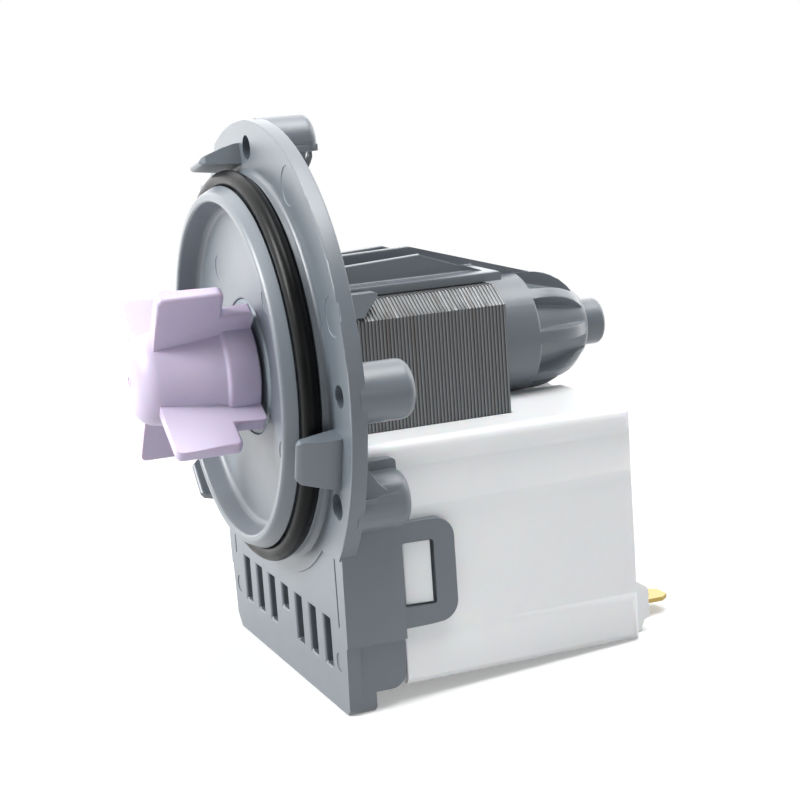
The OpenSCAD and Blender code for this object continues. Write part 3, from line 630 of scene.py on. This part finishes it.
@dataclass
class EdgeRounding:
    """Rounds the sharp edges of a moulding, and eases off where a rounding would fold over.

    Attributes:
        width_mm: Greatest width of the rounding.
        angle: Edges bent by more than this many degrees are rounded.
        segments: Number of steps across the rounding.
        least: Smallest share of the width that is still rounded.
        reaches_mm: For each try, the longest edge that may be eased off.
        room_share: How much of a neighbouring edge's length a rounding may take.
        in_line: Cosine above which a neighbouring edge only carries the edge on.
        stray: How far the new skin may leave the old one, as a share of the width.
        turned: Cosine below which a triangle faces the wrong way.
        near_mm: How near a fault an edge lies that is eased off, early and late.
        late_try: Try from which the late distance holds.
        gentle_tries: Number of tries that ease an edge off before they give it up.
        eased: Factor by which its share shrinks then.
        eased_from: Smallest share that is eased and not given up.
    """

    width_mm: float
    angle: float = 28.0
    segments: int = 2
    least: float = 0.12
    reaches_mm: tuple[float, ...] = (0.6, 1.2, 2.0, 4.0, 8.0, 16.0, 200.0, 200.0, 200.0, 200.0)
    room_share: float = 0.36
    in_line: float = 0.9
    stray: float = 0.45
    turned: float = -0.2
    near_mm: tuple[float, float] = (0.8, 1.6)
    late_try: int = 7
    gentle_tries: int = 5
    eased: float = 0.4
    eased_from: float = 0.3

    def room(self, edge: bmesh.types.BMEdge) -> float:
        """Measure how wide an edge can be rounded before it meets a neighbour.

        Args:
            edge: The edge.

        Returns:
            The width, in metres.
        """
        run = (edge.verts[1].co - edge.verts[0].co).normalized()
        room = math.inf
        for vert in edge.verts:
            for other in vert.link_edges:
                side = other.other_vert(vert).co - vert.co
                if other is edge or side.length == 0 or abs(side.normalized().dot(run)) > self.in_line:
                    continue
                room = min(room, self.room_share * side.length)
        return room

    def survey(self, form: bmesh.types.BMesh) -> list[SharpEdge]:
        """List all edges of a mesh, with a share of zero for those that stay as they are.

        Args:
            form: The mesh.

        Returns:
            The edges, in the mesh's order.
        """
        edges = []
        for edge in form.edges:
            bent = len(edge.link_faces) == 2 and edge.calc_face_angle(0.0) > math.radians(self.angle)
            share = min(1.0, self.room(edge) / (self.width_mm * MM)) if bent else 0.0
            ends = (edge.verts[0].co.copy(), edge.verts[1].co.copy())
            edges.append(SharpEdge(ends, share if share >= self.least else 0.0))
        return edges

    def faults(self, surface: BVHTree, mesh: bpy.types.Mesh) -> list[Vector]:
        """Find where the rounded mesh leaves the old surface or faces the wrong way.

        Args:
            surface: The old surface.
            mesh: The rounded mesh.

        Returns:
            Spots at or near the faults.
        """
        limit = self.stray * self.width_mm * MM
        no_area = 1e-9
        mesh.calc_loop_triangles()
        places = [vert.co for vert in mesh.vertices]
        spots = []
        for place in places:
            near = surface.find_nearest(place)
            if near[3] > limit:
                spots.append(near[0].copy())
        for triangle in mesh.loop_triangles:
            if triangle.area < no_area:
                continue
            corners = [places[index] for index in triangle.vertices]
            middle = sum(corners, Vector()) / 3
            near = surface.find_nearest(middle)
            if near[3] > limit or triangle.normal.dot(near[1]) < self.turned:
                spots.append(near[0].copy())
                spots.extend(corner.copy() for corner in corners)
        return spots

    def attempt(self, piece: Piece, base: bpy.types.Mesh, edges: Sequence[SharpEdge]) -> None:
        """Round a fresh copy of the base mesh with the edges' present shares.

        Args:
            piece: The piece that gets the rounded mesh.
            base: The mesh with its sharp edges.
            edges: Its edges, in the mesh's order.
        """
        piece.data = base.copy()
        layer = piece.data.attributes.new("bevel_weight_edge", "FLOAT", "EDGE")
        layer.data.foreach_set("value", [edge.share for edge in edges])
        bevel = piece.modifiers.new("soft_edges", "BEVEL")
        bevel.width = self.width_mm * MM
        bevel.segments = self.segments
        bevel.limit_method = "WEIGHT"
        bevel.use_clamp_overlap = False
        select_only(piece)
        bpy.ops.object.modifier_apply(modifier=bevel.name)

    def ease(self, edges: Sequence[SharpEdge], spots: Sequence[Vector], step: int) -> None:
        """Make the rounding narrower, or give it up, on the edges near the faults.

        Args:
            edges: The edges.
            spots: Spots at or near the faults.
            step: Number of the try.
        """
        tree = KDTree(len(spots))
        for index, spot in enumerate(spots):
            tree.insert(spot, index)
        tree.balance()
        near = self.near_mm[step >= self.late_try] * MM
        gentle = step < self.gentle_tries
        for edge in edges:
            if not edge.share or edge.length > self.reaches_mm[step] * MM:
                continue
            middle = edge.ends[0].lerp(edge.ends[1], 0.5)
            found = tree.find_range(middle, edge.length / 2 + near)
            if any(edge.distance(spot) < near for spot, _, _ in found):
                edge.share = self.eased * edge.share if gentle and edge.share >= self.eased_from else 0.0

    def apply(self, piece: Piece) -> None:
        """Round the piece's edges.

        Args:
            piece: The piece, with its mesh at the origin and unscaled.
        """
        base = piece.data
        form = bmesh.new()
        form.from_mesh(base)
        surface = BVHTree.FromBMesh(form)
        edges = self.survey(form)
        form.free()
        for step in range(len(self.reaches_mm)):
            self.attempt(piece, base, edges)
            spots = self.faults(surface, piece.data)
            if not spots:
                break
            self.ease(edges, spots, step)
        # An edge whose rounding tapers to nothing leaves corners on one spot.
        select_only(piece)
        bpy.ops.object.mode_set(mode="EDIT")
        bpy.ops.mesh.select_all(action="SELECT")
        bpy.ops.mesh.remove_doubles(threshold=0.001 * MM)
        bpy.ops.object.mode_set(mode="OBJECT")
        rounded = sum(edge.length * edge.share for edge in edges) / MM
        log.info("%s: %.0f mm of edge rounded, %d spots left", piece.name, rounded, len(spots))


def smooth(piece: Piece, angle: float = 38.0) -> None:
    """Shade rounded edges smooth and broad faces flat.

    Args:
        piece: The piece.
        angle: Edges bent by more than this many degrees stay sharp.
    """
    select_only(piece)
    bpy.ops.object.shade_smooth_by_angle(angle=math.radians(angle))
    even = piece.modifiers.new("even_shading", "WEIGHTED_NORMAL")
    even.keep_sharp = True
    even.weight = 60
    bpy.ops.object.modifier_apply(modifier=even.name)


def dress(piece: Piece, material: bpy.types.Material) -> None:
    """Give a piece one material all over.

    Args:
        piece: The piece.
        material: Its material.
    """
    if not piece.material_slots:
        piece.data.materials.append(material)
    for slot in piece.material_slots:
        slot.material = material


@dataclass
class SubAssembly:
    """A group of pieces that ride on one body."""

    body: Body

    def build(self) -> None:
        """Build and dress the pieces of the group."""
        raise NotImplementedError

    def keep(self, node: str, material: bpy.types.Material) -> None:
        """Keep a CAD node's shape and give it a material.

        Args:
            node: Name of the CAD node.
            material: Its material.
        """
        dress(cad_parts[node], material)
        log.info("%s keeps its CAD shape, in %s", node, material.name)

    def stand_in(self, piece: Piece, node: str, slot: str, material: bpy.types.Material) -> None:
        """Let a finished piece stand for a CAD node.

        Args:
            piece: The finished piece.
            node: CAD node that it replaces.
            slot: Not used.
            material: Material of the piece.
        """
        dress(piece, material)
        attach(piece, self.body.value)
        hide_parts(node)
        log.info("%s replaces %s, %d faces", piece.name, node, len(piece.data.polygons))


@dataclass
class CoverMoulding(SubAssembly):
    """Grey cover with its flange, cup, can, saddle and front plate, and its ring seal.

    Attributes:
        body: Body that it rides on.
        edge_mm: Width of the rounded edges.
        tab_in_mm: Distance from the axis beyond which only the bayonet tabs stand forward.
        tab_from_mm: Height above the flange from which a tab is reshaped.
        tab_stretch: How much longer a tab gets.
        tip_out_mm: How far its tip moves outwards.
        tip_from_mm: Height at which it begins to lean outwards.
        tip_run_mm: Height over which it leans.
        pin_marks: Marks of the ejector pins.
    """

    body: Body = Body.MOTOR
    edge_mm: float = 0.4
    tab_in_mm: float = 35.0
    tab_from_mm: float = 0.3
    tab_stretch: float = 1.12
    tip_out_mm: float = 0.7
    tip_from_mm: float = 2.0
    tip_run_mm: float = 4.0
    pin_marks: tuple[PinMark, ...] = (
        PinMark(21.0, 0.15, 33.0, 3.4), PinMark(38.1, 0.15, 13.0, 3.4), PinMark(-32.5, 0.15, 23.0, 3.4),
        PinMark(-13.0, -2.85, 16.5, 2.3), PinMark(13.4, -2.85, 13.4, 2.3),
        PinMark(16.5, -2.85, -13.0, 2.3), PinMark(-13.4, -2.85, -13.4, 2.3),
    )

    def build(self) -> None:
        """Build and dress the cover and the seal."""
        # Filled polypropylene from a polished tool: blue grey, satin, pale where it faces the light.
        grey = MouldedPlastic(
            "grey_polypropylene", "#596169", "#606870", roughness=0.38, gloss=0.9, rings=self.pin_marks,
        ).make()
        cover = merged_copy("pump_cover", "cover_moulding")
        self.shape_tabs(cover)
        EdgeRounding(self.edge_mm).apply(cover)
        smooth(cover)
        self.stand_in(cover, "pump_cover", "cover", grey)
        self.keep("seal_ring", MouldedRubber().make())

    def shape_tabs(self, cover: Piece) -> None:
        """Give the bayonet tabs the blunter and slightly longer tips of worn tooling.

        Args:
            cover: The cover, still with its sharp edges.
        """
        for vert in cover.data.vertices:
            radius = math.hypot(vert.co.x, vert.co.z)
            height = -vert.co.y / MM
            if height < self.tab_from_mm or radius < self.tab_in_mm * MM:
                continue
            lean = min(1.0, max(0.0, (height - self.tip_from_mm) / self.tip_run_mm))
            outwards = 1 + self.tip_out_mm * lean * MM / radius
            vert.co.x *= outwards
            vert.co.z *= outwards
            vert.co.y *= self.tab_stretch


@dataclass
class ImpellerWheel(SubAssembly):
    """Lilac impeller with its cap.

    Attributes:
        body: Body that it rides on.
        edge_mm: Width of the rounded edges.
        crease: Edges bent by more than this many degrees stay sharp.
        gate_mm: Radius of the gate's mark on the nose.
        gate_steps_mm: Inset and depth of each step of the mark, from its rim to the nib.
        off_axis_mm: How far from the axis the nose's tip may lie.
    """

    body: Body = Body.WHEEL
    edge_mm: float = 0.7
    crease: float = 50.0
    gate_mm: float = 0.95
    gate_steps_mm: tuple[tuple[float, float], ...] = ((0.12, -0.16), (0.3, 0.02), (0.1, 0.14))
    off_axis_mm: float = 0.05

    def build(self) -> None:
        """Build and dress the impeller and its cap."""
        # Acetal in a pale lilac: light sinks in a little, so that shadows on it stay soft.
        lilac = MouldedPlastic(
            "lilac_acetal", "#c6bcd3", "#c0b4cd", roughness=0.38, scatter_mm=1.5,
        ).make()
        wheel = merged_copy("impeller", "impeller_moulding")
        self.gate_mark(wheel)
        EdgeRounding(self.edge_mm, segments=3).apply(wheel)
        smooth(wheel, self.crease)
        self.stand_in(wheel, "impeller", "impeller", lilac)
        self.keep("impeller_hub_cap", lilac)

    def gate_mark(self, wheel: Piece) -> None:
        """Sink the moulding gate's round mark into the nose, with the broken sprue's nib in it.

        Args:
            wheel: The impeller, still with its sharp edges.
        """
        nose = min(wheel.data.vertices, key=lambda v: v.co.y + math.hypot(v.co.x, v.co.z))
        if math.hypot(nose.co.x, nose.co.z) > self.off_axis_mm * MM:
            log.warning("the nose has no tip vertex, so it gets no gate mark")
            return
        tip = nose.index
        select_only(wheel)
        bpy.ops.object.mode_set(mode="EDIT")
        bpy.ops.mesh.select_mode(type="VERT")
        bpy.ops.mesh.select_all(action="DESELECT")
        bpy.ops.object.mode_set(mode="OBJECT")
        wheel.data.vertices[tip].select = True
        bpy.ops.object.mode_set(mode="EDIT")
        bpy.ops.mesh.bevel(offset=self.gate_mm * MM, affect="VERTICES", segments=1)
        bpy.ops.mesh.select_mode(type="FACE")
        for inset_mm, depth_mm in self.gate_steps_mm:
            bpy.ops.mesh.inset(thickness=inset_mm * MM, depth=depth_mm * MM)
        bpy.ops.object.mode_set(mode="OBJECT")


@dataclass
class WetRotor(SubAssembly):
    """Shaft, magnet, dog and washers, which turn in the can."""

    body: Body = Body.ROTOR

    def build(self) -> None:
        """Dress the pieces of the rotor."""
        # Centreless ground stainless steel: bright, with fine rings round the shaft.
        self.keep("rotor_shaft", LinedFinish("ground_stainless", "#c8cbcd", "#a9adb0", 0.2).make())
        # Sintered ferrite, ground to size: dark grey and dull.
        self.keep("rotor_magnet", LinedFinish("ferrite", "#4a4a4e", "#36363a", 0.5, metallic=0.0).make())
        # Undyed nylon: warm off-white.
        plastic = MouldedPlastic("natural_nylon", "#e6e3da", "#dcd8cd").make()
        self.keep("rotor_core", plastic)
        self.keep("drive_dog", plastic)
        # Bearing plastic with a dry lubricant in it: tan, a little smoother.
        tan = MouldedPlastic("tan_bearing_plastic", "#c8a677", "#bc9869", roughness=0.35).make()
        self.keep("front_thrust_washer", tan)
        self.keep("rear_thrust_washer", tan)


@dataclass
class Bearings(SubAssembly):
    """Carrier, bushes, mounts and seals that hold the shaft."""

    body: Body = Body.MOTOR

    def build(self) -> None:
        """Dress the pieces round the shaft."""
        # Same plastic as the cover, from a plain tool: paler grey and matt.
        self.keep("bearing_carrier", MouldedPlastic("grey_carrier_plastic", "#7d888f", "#868f96").make())
        rubber = MouldedRubber("mount_rubber").make()
        for node in ("carrier_seal", "shaft_lip_seal", "front_bush_mount", "rear_bush_mount"):
            self.keep(node, rubber)
        # Pressed graphite, machined: dark warm grey with faint turning lines.
        graphite = LinedFinish("graphite", "#454341", "#33312f", 0.45, metallic=0.0).make()
        for node in ("front_bush", "rear_bush"):
            self.keep(node, graphite)


@dataclass
class Stator(SubAssembly):
    """Steel core with two coils.

    Attributes:
        body: Body that it rides on.
        groove_mm: Depth of the gaps between the sheets in the CAD model.
        groove_left: Share of that depth that is left, as in a pressed stack.
        corner_from_mm: Two corners closer than this are one corner.
        corner_reach: How far from a gap's floor its edge is looked for, in groove depths.
    """

    body: Body = Body.MOTOR
    groove_mm: float = 0.45
    groove_left: float = 0.42
    corner_from_mm: float = 0.1
    corner_reach: float = 1.5

    def build(self) -> None:
        """Dress the core, the bobbins and the windings."""
        core = merged_copy("stator_core", "stacked_sheets")
        self.close_up(core)
        self.stand_in(core, "stator_core", "laminations", SheetSteelStack().make())
        # Nylon that has seen some heat: cream.
        cream = MouldedPlastic("cream_nylon", "#eee9dc", "#e5dfd0").make()
        copper = EnamelledWire().make()
        for side in Side:
            self.keep(f"{side.value}_bobbin", cream)
            self.keep(f"{side.value}_winding", copper)
        # Pressed phenolic resin: black, hard and even.
        self.keep("thermal_protector", MouldedPlastic("black_phenolic", "#26282a", "#2f3133").make())
        # Extruded vinyl: red, smooth, a little glossy.
        red = MouldedPlastic("red_wire_insulation", "#b8342c", "#a92d26", roughness=0.3).make()
        for node in ("left_lead", "right_lead", "coil_jumper"):
            self.keep(node, red)

    def close_up(self, core: Piece) -> None:
        """Bring the floors of the gaps between the sheets near the sheets' edges.

        Args:
            core: The sheet stack.
        """
        spots = {}
        for vert in core.data.vertices:
            spots.setdefault((round(vert.co.x / MM, 2), round(vert.co.z / MM, 2)), []).append(vert)
        corners = [Vector((x, z)) for x, z in spots]
        middle = sum(corners, Vector((0.0, 0.0))) / len(corners)
        reach = self.corner_reach * self.groove_mm
        moved = 0
        for (x, z), verts in spots.items():
            here = Vector((x, z))
            outer = [
                corner for corner in corners
                if self.corner_from_mm < (corner - here).length < reach
                and (corner - here).dot(here - middle) > 0
            ]
            if not outer:
                continue
            edge = min(outer, key=lambda corner: (corner - here).length)
            goal = here.lerp(edge, 1.0 - self.groove_left) * MM
            for vert in verts:
                vert.co.x, vert.co.z = goal
            moved += len(verts)
        log.info("%s: %d corners of the gaps' floors brought out", core.name, moved)


@dataclass
class CoilBox(SubAssembly):
    """White housing with its terminals."""

    body: Body = Body.MOTOR
    edge_mm: float = 0.4

    def build(self) -> None:
        """Build and dress the housing and the blades."""
        # Unfilled polypropylene: white, satin, lit from within at its thin edges.
        white = MouldedPlastic(
            "white_polypropylene", "#f0f1f2", "#ebedef", roughness=0.45, scatter_mm=1.0,
        ).make()
        shell = merged_copy("coil_housing", "housing_moulding")
        EdgeRounding(self.edge_mm).apply(shell)
        smooth(shell)
        self.stand_in(shell, "coil_housing", "housing", white)
        # Rolled brass strip that has dulled: yellow, with the rolling lines along the blade.
        brass = LinedFinish("dull_brass", "#c9b06c", "#ab9355", 0.34, (0.4, 5.0, 5.0)).make()
        for side in Side:
            self.keep(f"{side.value}_terminal", brass)


@dataclass(frozen=True)
class SoftLamp:
    """Square studio lamp.

    Attributes:
        name: Name of the lamp.
        spot_m: Its place.
        width_m: Its width.
        watts: Its power.
    """

    name: str
    spot_m: Triple
    width_m: float
    watts: float

    def hang(self, aim_m: Triple) -> None:
        """Add the lamp to the scene.

        Args:
            aim_m: Place that it points at.
        """
        data = bpy.data.lights.new(self.name, "AREA")
        data.shape = "SQUARE"
        data.size = self.width_m
        data.energy = self.watts
        lamp = bpy.data.objects.new(self.name, data)
        lamp.location = self.spot_m
        aim = Vector(aim_m) - Vector(self.spot_m)
        lamp.rotation_euler = aim.to_track_quat("-Z", "Y").to_euler()
        bpy.context.scene.collection.objects.link(lamp)


@dataclass(frozen=True)
class Studio:
    """Plain pale floor, soft lamps and the photograph's camera.

    Attributes:
        foot_mm: Y and Z of the foot's edge, which stands on the floor.
        heel_mm: Y and Z of the housing's rear edge, which rests on it too.
        sunk_mm: How far below them the floor lies, so that it doesn't flicker through.
        aim_m: Place that the lamps point at.
        lamps: The lamps.
        near_m: Distance up to which the floor shows its shadow in full.
        far_m: Distance from which it is plain white.
        near_white: Share of plain white at the near distance.
        paper_tone: Colour of the floor in the picture.
        bounce_tone: Its colour for the light that it throws back on the object.
        bright_side: Strength of what the gloss mirrors from the far side, where 1 is white.
        dark_side: Strength of what it mirrors from the camera's side.
        floor_turn_m: X at which the mirrored floor is bright, and at which it is dark.
        room_turn: The same for the room, as a share of the direction's X.
        room_light: Strength of the light that the room itself gives.
        image_px: Width of the photograph.
        focal_px: Focal length in its pixels.
        eye_mm: Place of the camera.
        right: Direction of the picture's right.
        up: Direction of its top.
        back: Direction from the object to the camera.
    """

    foot_mm: tuple[float, float] = (0.5, -56.8)
    heel_mm: tuple[float, float] = (59.1, -53.3)
    sunk_mm: float = 0.05
    aim_m: Triple = (0.0, 0.02, -0.01)
    lamps: tuple[SoftLamp, ...] = (
        SoftLamp("key", (-0.05, -0.85, 0.6), 0.45, 14.8),
        SoftLamp("top", (0.15, 0.2, 0.95), 0.6, 9.0),
        SoftLamp("side_fill", (1.0, 0.1, 0.2), 0.6, 1.15),
        SoftLamp("rear_fill", (0.1, 1.0, 0.6), 0.6, 3.0),
    )
    near_m: float = 0.07
    far_m: float = 0.35
    near_white: float = 0.3
    paper_tone: str = "#f6f7f7"
    bounce_tone: str = "#b8b9ba"
    bright_side: float = 2.2
    dark_side: float = 0.3
    floor_turn_m: tuple[float, float] = (-0.05, 0.25)
    room_turn: tuple[float, float] = (-0.4, 0.7)
    room_light: float = 0.22
    image_px: float = 800.0
    focal_px: float = 1934.92
    eye_mm: Triple = (326.1, -102.5, 58.2)
    right: Triple = (0.3769, 0.9238, -0.0678)
    up: Triple = (-0.1522, 0.1340, 0.9792)
    back: Triple = (0.9136, -0.3588, 0.1911)

    def build(self) -> None:
        """Set up the camera, the floor, the lamps and the room."""
        self.camera()
        self.floor()
        for lamp in self.lamps:
            lamp.hang(self.aim_m)
        self.room()
        bpy.context.scene.view_settings.view_transform = "Standard"

    def camera(self) -> None:
        """Put the camera where the photograph was taken from."""
        data = bpy.data.cameras.new("photo_camera")
        data.sensor_width = 36.0
        data.lens = self.focal_px / self.image_px * data.sensor_width
        data.clip_start = 0.01
        camera = bpy.data.objects.new("photo_camera", data)
        turn = Matrix((self.right, self.up, self.back)).transposed().to_4x4()
        camera.matrix_world = Matrix.Translation(Vector(self.eye_mm) * MM) @ turn
        bpy.context.scene.collection.objects.link(camera)
        bpy.context.scene.camera = camera

    def floor(self) -> None:
        """Lay the floor under the foot and the housing's rear edge."""
        rise = self.heel_mm[1] - self.foot_mm[1]
        run = self.heel_mm[0] - self.foot_mm[0]
        lift = self.foot_mm[1] - self.foot_mm[0] * rise / run - self.sunk_mm
        bpy.ops.mesh.primitive_plane_add(size=8.0)
        floor = bpy.context.object
        floor.name = "studio_floor"
        tilt = Matrix.Rotation(math.atan2(rise, run), 4, "X")
        floor.data.transform(Matrix.Translation((0, 0, lift * MM)) @ tilt)
        dress(floor, self.paper())

    def paper(self) -> bpy.types.Material:
        """Make pale paper that keeps the shadow near the object and is plain white further off.

        Returns:
            The floor's material.
        """
        material, tree, shader = new_material("pale_paper")
        ray = add_node(tree, "ShaderNodeLightPath")
        in_picture = ray.outputs["Is Camera Ray"]
        seen = add_node(
            tree, "ShaderNodeMath", {0: in_picture, 1: ray.outputs["Is Glossy Ray"]},
            operation="MAXIMUM",
        )
        tint = add_node(
            tree, "ShaderNodeMix", {0: in_picture}, data_type="RGBA",
            in_6=linear(self.bounce_tone), in_7=linear(self.paper_tone),
        )
        tree.links.new(tint.outputs[2], shader.inputs["Base Color"])
        shader.inputs["Roughness"].default_value = 0.9
        place = add_node(tree, "ShaderNodeTexCoord").outputs["Object"]
        reach = add_node(tree, "ShaderNodeVectorMath", {0: place}, operation="LENGTH")
        far = add_node(
            tree, "ShaderNodeMapRange", {"Value": reach.outputs["Value"]},
            interpolation_type="SMOOTHSTEP",
            in_1=self.near_m, in_2=self.far_m, in_3=self.near_white, in_4=1.0,
        )
        axes = add_node(tree, "ShaderNodeSeparateXYZ", {0: place})
        side = add_node(
            tree, "ShaderNodeMapRange", {"Value": axes.outputs["X"]},
            in_1=self.floor_turn_m[0], in_2=self.floor_turn_m[1],
            in_3=self.bright_side, in_4=self.dark_side,
        )
        power = add_node(
            tree, "ShaderNodeMix", {0: in_picture, 2: side.outputs[0]}, data_type="FLOAT", in_3=1.0,
        )
        white = add_node(
            tree, "ShaderNodeEmission", {"Strength": power.outputs[0]}, in_Color=linear(WHITE),
        )
        plain = add_node(
            tree, "ShaderNodeMath", {0: far.outputs[0], 1: seen.outputs[0]}, operation="MULTIPLY",
        )
        blend = add_node(
            tree, "ShaderNodeMixShader",
            {0: plain.outputs[0], 1: shader.outputs["BSDF"], 2: white.outputs[0]},
        )
        out = next(node for node in tree.nodes if node.bl_idname == "ShaderNodeOutputMaterial")
        tree.links.new(blend.outputs[0], out.inputs["Surface"])
        return material

    def room(self) -> None:
        """Surround the object with a room that is plain white in the picture.

        The object gets its weak even light, and its gloss mirrors the room's two sides.
        """
        world = bpy.data.worlds.new("studio")
        world.use_nodes = True
        tree = world.node_tree
        tree.nodes.clear()
        way = add_node(tree, "ShaderNodeTexCoord").outputs["Generated"]
        axes = add_node(tree, "ShaderNodeSeparateXYZ", {0: way})
        side = add_node(
            tree, "ShaderNodeMapRange", {"Value": axes.outputs["X"]},
            in_1=self.room_turn[0], in_2=self.room_turn[1],
            in_3=self.bright_side, in_4=self.dark_side,
        )
        even = add_node(
            tree, "ShaderNodeBackground", in_Color=linear(WHITE), in_Strength=self.room_light,
        )
        mirrored = add_node(
            tree, "ShaderNodeBackground", {"Strength": side.outputs[0]}, in_Color=linear(WHITE),
        )
        seen = add_node(tree, "ShaderNodeBackground", in_Color=linear(WHITE), in_Strength=1.0)
        ray = add_node(tree, "ShaderNodeLightPath")
        soft = add_node(
            tree, "ShaderNodeMixShader",
            {0: ray.outputs["Is Glossy Ray"], 1: even.outputs[0], 2: mirrored.outputs[0]},
        )
        plain = add_node(
            tree, "ShaderNodeMixShader",
            {0: ray.outputs["Is Camera Ray"], 1: soft.outputs[0], 2: seen.outputs[0]},
        )
        add_node(tree, "ShaderNodeOutputWorld", {"Surface": plain.outputs[0]})
        bpy.context.scene.world = world


def main() -> None:
    """Build the pump and its studio."""
    logging.basicConfig(level=logging.INFO, format="%(message)s")
    for part in (CoverMoulding(), ImpellerWheel(), WetRotor(), Bearings(), Stator(), CoilBox()):
        part.build()
    Studio().build()


if __name__ == "__main__":
    main()
